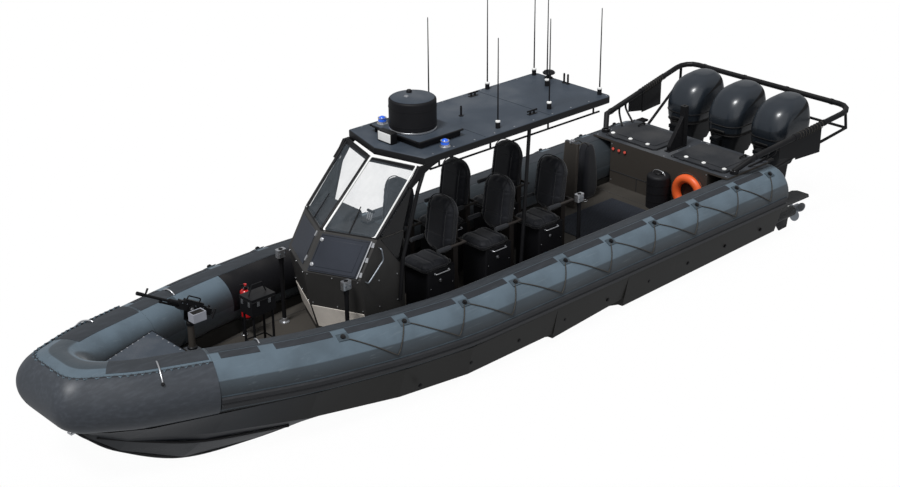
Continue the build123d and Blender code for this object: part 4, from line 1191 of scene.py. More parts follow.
def rounded(length, width, corner, count=64):
    """Plan of a rounded rectangle, at even turns."""
    a, b = length / 2, width / 2
    corner = min(corner, a - 1e-4, b - 1e-4)
    centres = (
        (a - corner, b - corner), (corner - a, b - corner), (corner - a, corner - b), (a - corner, corner - b)
    )
    quarter = count // 4
    points = []
    for k, (x, y) in enumerate(centres):
        for i in range(quarter):
            turn = pi / 2 * (k + i / (quarter - 1))
            points.append((x + corner * cos(turn), y + corner * sin(turn)))
    return points


class BOAT_OT_seats(bpy.types.Operator):
    """Padded cushions and backs, arm pads, handles and shock struts of the seats"""

    bl_idname = "boat.seats"
    bl_label = "Shock seats"

    ROWS = (0.27, -0.6, -1.45)
    COLUMN_Y = 0.36
    BOX_HALF = 0.19
    CUSHION = (0.42, 0.41, 0.085)
    CUSHION_AT = (0.055, 0.0, 0.921)
    BACK = (0.43, 0.645, 0.135)
    BACK_AT = (-0.195, 0.0, 1.02)
    LEAN = 8.0
    VOXEL = 0.0095
    CHANNEL = 0.011
    BELL = 2.718
    COIL_TURNS = 9
    COIL_STEPS = 14
    PAD_LEVELS = (
        (0.0, 0.022), (0.06, 0.008), (0.2, 0.0), (0.66, 0.0), (0.84, 0.009), (0.95, 0.026), (1.0, 0.055)
    )

    def pad(self, name, size, corner, channels):
        """One pad with its back on z = 0: remeshed, blown up as cloth, then its channels sewn in."""
        length, width, thick = size
        rows = []
        for share, inset in self.PAD_LEVELS:
            plan = rounded(length - 2 * inset, width - 2 * inset, corner - inset * 0.6)
            rows.append([(x, y, share * thick) for x, y in plan])
        piece = put(name, bpy.data.meshes.new(name))
        shape = Shape().rings(rows)
        piece.data.from_pydata(shape.corners, [], shape.faces)
        outward(piece.data, 0.0005)
        even = piece.modifiers.new("even", "REMESH")
        even.mode = "VOXEL"
        even.voxel_size = self.VOXEL
        flatten(piece)
        self.blow(piece, 0.016)
        for vert in piece.data.vertices:
            x, y, z = vert.co
            dip = 0
            for at, across, depth in channels:
                off = ((x if across else y) - at) / self.CHANNEL
                dip += depth * self.BELL ** -(off**2)
            rise = min(1.0, max(0.0, z / thick - 0.45) * 3)
            vert.co = (x, y, max(0.0, z - dip * rise))
        return piece

    def blow(self, piece, cap):
        start = [vert.co.copy() for vert in piece.data.vertices]
        cloth = piece.modifiers.new("cloth", "CLOTH")
        cloth.settings.use_pressure = True
        cloth.settings.uniform_pressure_force = 4.0
        cloth.settings.effector_weights.gravity = 0.0
        scene = bpy.context.scene
        for step in range(1, 21):
            scene.frame_set(step)
        flatten(piece)
        scene.frame_set(1)
        for vert, first in zip(piece.data.vertices, start):
            moved = vert.co - first
            if moved.length > cap:
                vert.co = first + moved.normalized() * cap

    def spread(self, master, name, places, slot, node, fill):
        """Copies of one pad at their places, each a piece of its own."""
        for number, place in enumerate(places):
            mesh = master.data.copy()
            mesh.transform(place)
            piece = put(f"{name}_{number + 1}", mesh)
            settle(piece, "vinyl", ROOT, slot, 70.0)
            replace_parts(piece, node)
        bpy.data.objects.remove(master)

    def execute(self, context):
        spots = [(x, side * self.COLUMN_Y) for x in self.ROWS for _, side in SIDES]
        lean = radians(self.LEAN)
        seat = self.pad("seat_master", self.CUSHION, 0.075, [(-0.11, True, 0.007), (0.06, True, 0.007)])
        low = [Matrix.Translation(Vector((x, y, 0)) + Vector(self.CUSHION_AT)) for x, y in spots]
        self.spread(seat, "seat_cushion", low, "seat_vinyl", "seat_cushions", 0.8)
        ribs = [(-0.125, True, 0.011), (0.125, True, 0.011), (-0.12, False, 0.008), (0.16, False, 0.008)]
        back = self.pad("back_master", self.BACK, 0.185, ribs)
        axes = Matrix(((0, -sin(lean), cos(lean)), (1, 0, 0), (0, cos(lean), sin(lean)))).to_4x4()
        rest = []
        for x, y in spots:
            foot = Vector((x, y, 0)) + Vector(self.BACK_AT)
            rest.append(
                Matrix.Translation(foot + Vector((-sin(lean), 0, cos(lean))) * self.BACK[1] / 2) @ axes
            )
        self.spread(back, "seat_back", rest, "seat_vinyl", "seat_backs", 0.85)
        self.welts(rest, low)
        self.fittings(spots)
        return {"FINISHED"}

    def welts(self, backs, seats):
        """Piping sewn round the pads."""
        lines = []
        for place in backs:
            plan = rounded(self.BACK[0] - 0.002, self.BACK[1] - 0.002, 0.184)
            lines.append([place @ Vector((x, y, self.BACK[2] * 0.62)) for x, y in plan])
        for place in seats:
            plan = rounded(self.CUSHION[0] + 0.004, self.CUSHION[1] + 0.004, 0.077)
            lines.append([place @ Vector((x, y, self.CUSHION[2] * 0.55)) for x, y in plan])
        strands("seat_welts", lines, 0.0055, "piping", sides=8, closed=True)

    def fittings(self, spots):
        arms, bars, feet, latches, rods, coils, caps, bolts, kicks = [], [], [], [], [], [], [], [], Shape()
        for x, y in spots:
            for side in (1, -1):
                arm = y + side * 0.218
                arms.append(bent([(x + 0.082, arm, 1.15), (x + 0.03, arm, 1.154), (x - 0.1, arm, 1.15)], 5))
                wall = y + side * self.BOX_HALF
                out = wall + side * 0.026
                bar = [
                    (x + 0.1, wall, 0.885), (x + 0.1, out, 0.885), (x - 0.1, out, 0.885),
                    (x - 0.1, wall, 0.885),
                ]
                bars.append(knee(bar, 0.016))
                feet += [((x + 0.1, wall, 0.885), (0, side, 0)), ((x - 0.1, wall, 0.885), (0, side, 0))]
                latches.append(((x + 0.02, wall, 0.79), (0, side, 0)))
                for z in (0.4, 0.72):
                    for dx in (-0.16, 0.16):
                        bolts.append(((x + dx, wall, z), (0, side, 0)))
            shock = x - 0.373
            rods.append([(shock, y, 0.42), (shock, y, 0.98)])
            coil = []
            for k in range(self.COIL_TURNS * self.COIL_STEPS + 1):
                turn = 2 * pi * k / self.COIL_STEPS
                rise = 0.045 * k / self.COIL_STEPS
                coil.append((shock + 0.026 * cos(turn), y + 0.026 * sin(turn), 0.5 + rise))
            coils.append(coil)
            caps += [((shock, y, 0.49), (0, 0, 1)), ((shock, y, 0.915), (0, 0, 1))]
            kicks.block((x - 0.19, y - 0.2, DECK_Z), (x + 0.206, y + 0.2, 0.352))
        strands("arm_pads", arms, 0.024, "armrest", sides=14)
        strands("seat_handles", bars, 0.007, "bright", sides=10)
        studs("seat_handle_feet", feet, 0.014, 0.006, "bright")
        studs("seat_latches", latches, 0.02, 0.009, "bright")
        studs("seat_bolts", bolts, 0.006, 0.004, "bright")
        strands("shock_rods", rods, 0.014, "bright", sides=14)
        strands("shock_springs", coils, 0.006, "black", sides=6)
        studs("shock_seats", caps, 0.034, 0.012, "black")
        kicks.make("seat_plinths", "black", bevel=0.003)


SWEEP = Vector((-0.269, 0.6, 0.0))
NOSE = Vector((1.724, 0.0, 1.175))
RAKE = Vector((-0.245, 0.0, 0.39))
FOOT_LEVELS = ((DECK_Z, 1.53), (0.48, 1.57), (0.775, 1.655), (1.175, 1.724))


def mirrored(point, side):
    return Vector((point[0], side * point[1], point[2]))


def facet(side, right, up, lift=0.0):
    """Point on a raked face of the console: shares across and up, and a lift off it."""
    face = SWEEP.cross(RAKE).normalized()
    return mirrored(NOSE + SWEEP * right + RAKE * up + face * lift, side)


def foot_face(side, share, z, lift=0.0):
    """Point on a lower face of the console at a height."""
    for (z0, x0), (z1, x1) in zip(FOOT_LEVELS, FOOT_LEVELS[1:]):
        if z0 <= z <= z1:
            ridge = x0 + (x1 - x0) * (z - z0) / (z1 - z0)
            tall = Vector((x1 - x0, 0, z1 - z0))
    face = SWEEP.cross(tall).normalized()
    return mirrored(Vector((ridge, 0, z)) + SWEEP * share + face * lift, side)


class BOAT_OT_console(bpy.types.Operator):
    """Hatch fittings, screen seals and headers, kick panels, dash top and instruments"""

    bl_idname = "boat.console"
    bl_label = "Console"

    HATCH_FACE = 0.0175
    PANE = ((1.45, 0.024, 1.566), (1.203, 0.561, 1.566), (0.6032, 0.561, 2.209), (0.7648, 0.024, 2.209))

    def execute(self, context):
        self.hatch()
        self.screens()
        self.faces()
        self.instruments()
        return {"FINISHED"}

    def hatch(self):
        face = facet(1, 0, 0, 1) - facet(1, 0, 0)
        knobs = [(facet(1, 0.11, share, self.HATCH_FACE), face) for share in (0.2, 0.8)]
        studs("hatch_knobs", knobs, 0.021, 0.018, "bright", "console_hatch")
        rim = [(0.09, 0.07), (0.9, 0.07), (0.9, 0.91), (0.09, 0.91)]
        edge = [facet(1, right, up, self.HATCH_FACE) for right, up in rim]
        strands("hatch_bead", [edge], 0.0045, "hatch_edge", "console_hatch", "panel_paint", 8, True)
        inner = [
            facet(1, right, up, self.HATCH_FACE)
            for right, up in ((0.17, 0.16), (0.82, 0.16), (0.82, 0.82), (0.17, 0.82))
        ]
        Shape().slab(inner, face * 0.004).make(
            "hatch_pressing", "hatch", "console_hatch", "panel_paint", 0.003
        )
        bar = [facet(1, 0.94, up, 0.022) for up in (0.04, 0.94)]
        strands("hatch_hinge_rail", [bar], 0.0075, "bright", sides=12)
        ears = []
        for up in (0.14, 0.5, 0.86):
            ears.append((facet(1, 0.967, up, 0.003), face, SWEEP))
        plates("hatch_brackets", ears, (0.036, 0.05, 0.006), "bright")
        other = mirrored(face, -1)
        latches = [(facet(-1, 0.075, up, 0.006), other, mirrored(SWEEP, -1)) for up in (0.28, 0.88)]
        plates("starboard_latches", latches, (0.03, 0.06, 0.014), "bright")
        panel = [
            facet(-1, right, up, 0.0005) for right, up in ((0.12, 0.1), (0.9, 0.1), (0.9, 0.9), (0.12, 0.9))
        ]
        Shape().slab(panel, other * 0.006).make("starboard_cover", "hatch", slot="panel_paint", bevel=0.004)
        rail = [
            (1.19, 0.6, 1.47), (1.19, 0.645, 1.47), (1.17, 0.645, 1.34), (1.38, 0.645, 1.14),
            (1.38, 0.6, 1.14),
        ]
        rails = [knee([mirrored(p, side) for p in rail], 0.03) for _, side in SIDES]
        strands("console_grab_rails", rails, 0.009, "steel", slot="bright_metal", sides=12)

    def screens(self):
        seals, dark, gussets = [], Shape(), Shape()
        for _, side in SIDES:
            loop = [mirrored(p, side) + Vector((0.008, 0, 0.002)) for p in self.PANE]
            seals.append(knee(loop + loop[:2], 0.03)[1:-1])
            quarter = [(1.148, 1.567), (0.837, 1.567), (0.737, 1.925), (0.702, 2.046)]
            dark.slab([(x, side * 0.5895, z) for x, z in quarter], (0, side * 0.003, 0))
            cheek = [(1.165, 1.556), (0.86, 1.556), (0.875, 1.3), (0.92, 1.225)]
            dark.slab([(x, side * 0.6005, z) for x, z in cheek], (0, side * 0.004, 0))
            bow = [
                (0.74, 2.0), (0.785, 2.03), (0.7, 2.12), (0.64, 2.206), (0.33, 2.206), (0.44, 2.175),
                (0.56, 2.12), (0.66, 2.05),
            ]
            gussets.slab([(x, side * 0.582, z) for x, z in bow], (0, side * 0.038, 0))
            head = [
                (0.79, 0.0, 2.205), (0.615, side * 0.6, 2.205), (0.585, side * 0.6, 2.205), (0.76, 0.0, 2.205)
            ]
            gussets.slab(head, (0.022, 0, -0.05))
        # Painted reflection: the port pane's rim is white where light glints on its edge; the starboard rim
        # stays black.
        strands("port_screen_glare_seal", seals[:1], 0.011, "seal", slot="screen_glass", sides=8)
        strands("starboard_screen_seal", seals[1:], 0.008, "black", sides=8)
        dark.make("quarter_panes", "tinted", slot="screen_glass")
        gussets.make("screen_headers", "black", bevel=0.006)
        lids = []
        for _, side in SIDES:
            lids.append([mirrored((1.47, 0.0, 1.57), side), mirrored((1.2, 0.6, 1.57), side)])
        strands("sill_bead", lids, 0.009, "black", sides=8)
        wipers = []
        for _, side in SIDES:
            foot = mirrored((1.33, 0.29, 1.575), side)
            wipers.append([foot, mirrored((1.12, 0.26, 1.8), side) + Vector((0.012, 0, 0.01))])
        strands("wiper_arms", wipers, 0.006, "black", sides=8)

    def faces(self):
        kick, bolts = Shape(), []
        for _, side in SIDES:
            low = [
                foot_face(side, share, z, 0.0008)
                for share, z in ((0.03, 0.49), (0.96, 0.49), (0.96, 0.767), (0.03, 0.767))
            ]
            lift = (low[1] - low[0]).cross(low[3] - low[0]).normalized() * side * 0.006
            kick.slab(low, lift)
            face = foot_face(side, 0, 0.6, 1) - foot_face(side, 0, 0.6)
            for share in (0.06, 0.5, 0.95):
                for z in (0.8, 1.15):
                    bolts.append((foot_face(side, share, z, 0.001), face))
            for x in (0.95, 1.2):
                for z in (0.45, 0.8, 1.1):
                    bolts.append(((x, side * 0.601, z), (0, side, 0)))
        # Kick panels in near-white: partly pale paint, partly a painted highlight for the sun on these faces.
        kick.make("kick_panels", "kick", slot="box_paint", bevel=0.003)
        studs("console_bolts", bolts, 0.008, 0.005, "bright")

    def instruments(self):
        slope = Vector((-0.18, 0, 0.09)).normalized()
        middle = Vector((0.912, 0, 1.384))
        wide = [(middle + PORT * y + slope * 0.005, slope, PORT) for y in (-0.12, 0.22)]
        plates("display_bezels", wide, (0.3, 0.19, 0.02), "black", slot="black_plastic")
        plates(
            "display_faces", [(p + slope * 0.0105, n, a) for p, n, a in wide], (0.27, 0.16, 0.003), "screen",
            slot="black_plastic",
        )
        dials = []
        for k in range(4):
            row = Vector((0.045, 0, 0.09)) * (k // 2 - 0.5)
            dials.append((middle + PORT * (0.44 + 0.07 * (k % 2)) + row + slope * 0.004, slope))
        studs("dash_dials", dials, 0.03, 0.01, "bright")
        switches = [(Vector((0.867, -0.05 + 0.05 * k, 1.24)), -AHEAD, PORT) for k in range(8)]
        plates("dash_switches", switches, (0.022, 0.034, 0.012), "plastic")
        levers = [[(0.99, 0.2 + dy, 1.58), (0.95, 0.2 + dy, 1.69)] for dy in (-0.03, 0.0, 0.03)]
        strands("throttle_levers", levers, 0.008, "bright", sides=10)
        grips = [[(0.952, 0.15, 1.69), (0.952, 0.25, 1.69)]]
        strands("throttle_grip", grips, 0.014, "plastic", sides=12)
        top = Shape()
        top.slab(
            [
                (1.4, 0, 1.53), (1.165, 0.555, 1.53), (0.93, 0.555, 1.53), (0.93, -0.555, 1.53),
                (1.165, -0.555, 1.53),
            ],
            (0, 0, 0.045),
        )
        hood = [(1.12, 1.57), (1.08, 1.6), (0.945, 1.65), (0.935, 1.57)]
        top.slab([(x, -0.5, z) for x, z in hood], (0, 0.54, 0))
        top.make("dash_top", "plastic", bevel=0.008)
        Shape().block((0.945, 0.14, 1.572), (1.05, 0.26, 1.605)).make("throttle_base", "plastic", bevel=0.008)


class BOAT_OT_roof(bpy.types.Operator):
    """Fittings on the hardtop, the radar drum and its platform, the floodlight and the beacons"""

    bl_idname = "boat.roof"
    bl_label = "Hardtop fittings"

    TOP = 2.29
    DRUM = (0.165, 0.0, 2.372)
    DRUM_R = 0.258
    DRUM_H = 0.345
    BEACONS = ((0.318, -0.325, 2.372), (0.165, 0.506, 2.29))
    WHIPS = (
        (-0.52, -0.5), (-1.49, -0.555), (-0.64, 0.482), (-2.26, -0.545), (-2.07, -0.15), (-1.495, 0.434),
        (-2.275, 0.49),
    )
    POSTS = ((-2.3, -0.09), (-2.3, -0.03), (-0.623, -0.082))
    CLEATS = ((-1.198, -0.49), (-1.236, 0.42))

    def execute(self, context):
        Shape().turned(
            [
                (0.2, 0.0), (self.DRUM_R - 0.006, 0.0), (self.DRUM_R, 0.006), (self.DRUM_R, 0.02),
                (self.DRUM_R - 0.008, 0.027), (0.2, 0.027),
            ],
            self.DRUM, 64,
        ).make("drum_foot_ring", "bright")
        seam = Shape()
        for z in (0.07, 0.245):
            foot = Vector(self.DRUM) + UP * z
            seam.turned(
                [
                    (self.DRUM_R - 0.02, 0), (self.DRUM_R + 0.003, 0.001), (self.DRUM_R + 0.003, 0.009),
                    (self.DRUM_R - 0.02, 0.01),
                ],
                foot, 64,
            )
        seam.make("drum_bands", "plastic")
        top = Vector(self.DRUM) + UP * self.DRUM_H
        Shape().turned(
            [(0.15, -0.004), (0.236, -0.004), (0.238, 0.002), (0.23, 0.006), (0.12, 0.009), (0.02, 0.01)],
            top, 64,
        ).make("drum_lid", "panel", slot="panel_paint")
        Shape().turned(
            [(0.03, 0.004), (0.03, 0.03), (0.022, 0.04), (0.008, 0.043)], top + Vector((-0.06, -0.12, 0)), 20
        ).make("drum_knob", "plastic")
        studs("drum_cap", [(top + Vector((0.06, -0.03, 0.009)), UP)], 0.026, 0.016, "bright")
        Shape().block(
            (-0.185, -0.16, self.TOP - 0.002), (0.405, 0.375, 2.353)
        ).make("platform_skirt", "black", bevel=0.006)
        flood, face = Shape(), Shape()
        flood.block((0.465, -0.14, self.TOP - 0.002), (0.55, 0.09, 2.415))
        flood.make("floodlight", "black", bevel=0.008)
        face.block((0.548, -0.125, 2.305), (0.554, 0.075, 2.403))
        # Painted reflection: the floodlight's lens is a pale sheet for the light it reflects.
        face.make("floodlight_lens", "seal", slot="screen_glass", bevel=0.004)
        feet = Shape()
        for spot in self.BEACONS:
            feet.turned([(0.06, 0.0), (0.06, 0.008), (0.05, 0.014), (0.0485, 0.03), (0.04, 0.032)], spot, 32)
            collar = Vector(spot) + UP * 0.062
            feet.turned([(0.03, 0), (0.0475, 0.0), (0.0475, 0.008), (0.03, 0.008)], collar, 32)
        feet.make("beacon_feet", "bright")
        white = Shape()
        for x, y in self.WHIPS:
            white.turned(
                [(0.02, 0.068), (0.0275, 0.068), (0.0275, 0.082), (0.012, 0.09)], (x, y, self.TOP), 20
            )
        dark = Shape()
        for x, y in self.POSTS:
            dark.turned(
                [(0.028, 0.0), (0.028, 0.006), (0.012, 0.01), (0.012, 0.11), (0.008, 0.118)],
                (x, y, self.TOP), 16,
            )
        dark.turned(
            [
                (0.05, 0), (0.05, 0.008), (0.03, 0.014), (0.03, 0.05), (0.07, 0.056), (0.076, 0.07),
                (0.06, 0.088), (0.02, 0.096),
            ],
            (-2.3, -0.34, self.TOP),
        )
        # Painted reflection: the whip collars are white for the glint on their bright metal.
        white.make("whip_collars", "seal", slot="bright_metal")
        dark.make("roof_posts_dark", "plastic")
        horns, pads = [], Shape()
        for x, y in self.CLEATS:
            horns.append([(x - 0.075, y, self.TOP + 0.04), (x + 0.075, y, self.TOP + 0.04)])
            horns += [[(x + dx, y, self.TOP), (x + dx, y, self.TOP + 0.04)] for dx in (-0.03, 0.03)]
            pads.block((x - 0.06, y - 0.025, self.TOP - 0.001), (x + 0.06, y + 0.025, self.TOP + 0.006))
        strands("roof_cleats", horns, 0.01, "black")
        pads.make("roof_cleat_pads", "black", bevel=0.002)
        seams = [[(x, -0.585, self.TOP), (x, 0.585, self.TOP)] for x in (-0.35, -1.35)]
        strands("roof_seams", seams, 0.0035, "roof_edge", slot="panel_paint", sides=6)
        bolts = [
            ((x, side * 0.575, self.TOP), UP) for x in [0.4 - 0.3 * k for k in range(10)] for _, side in SIDES
        ]
        studs("roof_bolts", bolts, 0.009, 0.004, "bright")
        trims = [[(0.43, side * 0.395, 2.362), (-0.2, side * 0.395, 2.362)] for _, side in SIDES]
        trims.append([(0.43, -0.36, 2.362), (0.43, 0.36, 2.362)])
        strands("platform_edges", trims, 0.012, "black", sides=8)
        return {"FINISHED"}


class BOAT_OT_stern(bpy.types.Operator):
    """Lid, lamp, lifebuoy and drum fittings, and the guard rail's clamps, nets, braces and gusset"""

    bl_idname = "boat.stern"
    bl_label = "Stern box"

    LID = (-4.74, -4.09, 0.13, 0.98)
    CAPS = ((-4.175, 0.92), (-4.163, 0.606), (-4.17, 0.32))
    HANDLE_Y = 0.84
    HANDLE = ((-4.6, 0.97), (-4.6, 1.0), (-4.72, 1.0), (-4.72, 0.97))
    BUOY = (-3.941, 0.555, 0.613)
    BUOY_R = 0.185
    BUOY_TUBE = 0.058
    DRUM = (-3.849, 0.15, DECK_Z)
    DRUM_R = 0.15
    CLAMP = ((0.03, -0.02), (0.041, -0.018), (0.041, 0.018), (0.03, 0.02))

    def execute(self, context):
        self.lids()
        self.front()
        self.buoy()
        self.rail()
        return {"FINISHED"}

    def lids(self):
        cap = sizes().cap
        gaskets, tabs = [], []
        x0, x1, y0, y1 = self.LID
        for name, side in SIDES:
            body = f"lid_{name}"
            plan = rounded(x1 - x0 + 0.014, y1 - y0 + 0.014, 0.05, 48)
            gaskets.append([((x0 + x1) / 2 + x, side * ((y0 + y1) / 2 + y), 0.951) for x, y in plan])
            heads = [((x, side * y, 0.9705), UP) for x, y in self.CAPS]
            # Painted reflection: the caps are white for the glint on their bright metal.
            studs(f"{body}_caps", heads, cap, 0.014, "seal", body, "bright_metal")
            bar = [(x, side * self.HANDLE_Y, z) for x, z in self.HANDLE]
            strands(f"{body}_handle", [knee(bar, 0.018)], 0.011, "black", body, "black_metal", 10)
            press = Shape()
            plan = rounded(x1 - x0 - 0.16, y1 - y0 - 0.16, 0.05, 48)
            press.slab(
                [((x0 + x1) / 2 - 0.02 + x, side * ((y0 + y1) / 2 + y), 0.9705) for x, y in plan],
                (0, 0, 0.004),
            )
            press.make(f"{body}_pressing", "lid", body, "panel_paint", 0.003)
            for y in (0.2, 0.86):
                tabs.append(((-4.77, side * y, 0.957), UP, AHEAD))
        strands("lid_gaskets", gaskets, 0.006, "slot", sides=8, closed=True)
        plates("lid_latches", tabs, (0.045, 0.05, 0.014), "bright")

    def front(self):
        lamps, rims, bolts = [], [], []
        for y in (-0.75, -0.65, -0.55):
            lamps.append(((-3.992, y, 0.84), (1, 0, 0)))
            rims.append(((-3.9985, y, 0.84), (1, 0, 0)))
        studs("stern_lamp_rims", rims, 0.026, 0.01, "black")
        studs("stern_lamps", lamps, 0.02, 0.014, "lamp", slot="red_paint")
        seam = [
            [(-3.999, -0.79, 0.53), (-3.999, 0.79, 0.53)], [(-3.999, -0.34, DECK_Z), (-3.999, -0.34, 0.53)]
        ]
        strands("box_seams", seam, 0.0045, "lid", slot="box_paint", sides=6)
        for y in (-0.78, 0.78):
            for z in (0.4, 0.9):
                bolts.append(((-3.9995, y, z), (1, 0, 0)))
        for x in (-4.03, -4.3, -4.55, -4.8):
            for y in (-1.06, 0.0, 1.06):
                bolts.append(((x, y + 0.07 if y == 0 else y, 0.951), UP))
        studs("stern_box_bolts", bolts, 0.009, 0.005, "bright")
        bands = Shape()
        for z in (0.09, 0.2, 0.31):
            foot = Vector(self.DRUM) + UP * z
            bands.turned(
                [
                    (self.DRUM_R - 0.01, 0), (self.DRUM_R + 0.003, 0.002), (self.DRUM_R + 0.003, 0.014),
                    (self.DRUM_R - 0.01, 0.016),
                ],
                foot, 40,
            )
        bands.turned([(0.05, 0.438), (0.05, 0.452), (0.044, 0.458), (0.01, 0.46)], self.DRUM, 24)
        bands.make("drum_hoops", "black", slot="black_plastic")
        wire = [
            (self.DRUM[0], self.DRUM[1] + 0.1 * cos(pi * k / 12), 0.775 + 0.055 * sin(pi * k / 12))
            for k in range(13)
        ]
        strands("drum_handle", [wire], 0.005, "bright", sides=8)

    def around(self, turn, reach, out=0.0):
        """Point round the lifebuoy's ring."""
        x, y, z = self.BUOY
        return Vector((x + out, y + reach * cos(turn), z + reach * sin(turn)))

    def buoy(self):
        rope = []
        for k in range(96):
            turn = 2 * pi * k / 96
            slack = abs(sin(2 * (turn - pi / 4)))
            rope.append(self.around(turn, self.BUOY_R + self.BUOY_TUBE + 0.005 + 0.014 * slack, 0.0))
        strands("buoy_rope", [rope], 0.006, "rope", slot="buoy_shell", sides=8, closed=True)
        hold = Shape()
        for side in (1, -1):
            y = self.BUOY[1] + side * 0.12
            hold.block((-3.9995, y - 0.02, 0.345), (-3.9, y + 0.02, 0.372))
        hold.make("buoy_rests", "black", bevel=0.004)

    def rail(self):
        """Clamps, nets and braces of the guard rail, the post's gusset and lacing of the hung plates."""
        bend, corner = Vector((-4.34, 1.185, 1.13)), Vector((-6.23, 1.39, 1.4))
        run = (corner - bend).normalized()
        clamps, lace = Shape(), []
        for _, side in SIDES:
            way = mirrored(run, side)
            for share in (0.05, 0.42, 0.7):
                spot = mirrored(bend.lerp(corner, share), side)
                clamps.turned(self.CLAMP, spot, 24, way)
            front, back = bend.lerp(corner, 0.44), bend.lerp(corner, 0.68)
            for k in range(9):
                spot = front.lerp(back, (k + 0.5) / 9)
                loop = []
                for i in range(12):
                    a = 2 * pi * i / 12
                    slack = 0.012 if sin(a) < -0.5 else 0
                    loop.append(mirrored(spot + Vector((0, 0.0405 * cos(a), 0.0405 * sin(a) - slack)), side))
                lace.append(loop)
        for y in (-0.36, 0.34, -1.05, 1.05):
            clamps.turned(self.CLAMP, (corner.x, y, corner.z), 24, PORT)
        clamps.make("rail_clamps", "black")
        nets, braces = Shape(), []
        for _, side in SIDES:
            corners = [bend.lerp(corner, 0.27) - UP * 0.037, bend.lerp(corner, 0.445) - UP * 0.037]
            corners += [
                Vector((corners[1].x, corners[1].y, 0.95)), Vector((corners[0].x, corners[0].y, 1.02))
            ]
            nets.slab([mirrored(c, side) for c in corners], (0, side * 0.006, 0))
            for share, foot in ((0.16, (-4.5, 1.045, 0.95)), (0.24, (-4.72, 1.045, 0.95))):
                start = bend.lerp(corner, share)
                middle = Vector((start.x + 0.02, start.y - 0.01, start.z - 0.1))
                braces.append(bent([mirrored(q, side) for q in (start, middle, foot)], 8))
        nets.make("rail_nets", "black")
        strands("rail_braces", braces, 0.014, "black", sides=10)
        Shape().slab(
            [(x, -0.026, z) for x, z in ((-4.2, 0.964), (-4.2, 1.02), (-4.45, 1.37), (-4.45, 0.964))],
            (0, 0.052, 0),
        ).make("post_gusset", "black", bevel=0.004)
        strands("plate_lacing", lace, 0.004, "rope", sides=6, closed=True)
        flange = []
        for _, side in SIDES:
            for a in (pi / 4, 3 * pi / 4, 5 * pi / 4, 7 * pi / 4):
                flange.append(((-4.19 + 0.042 * cos(a), side * 1.062 + 0.042 * sin(a), 0.99), UP))
        studs("rail_foot_bolts", flange, 0.007, 0.005, "bright")


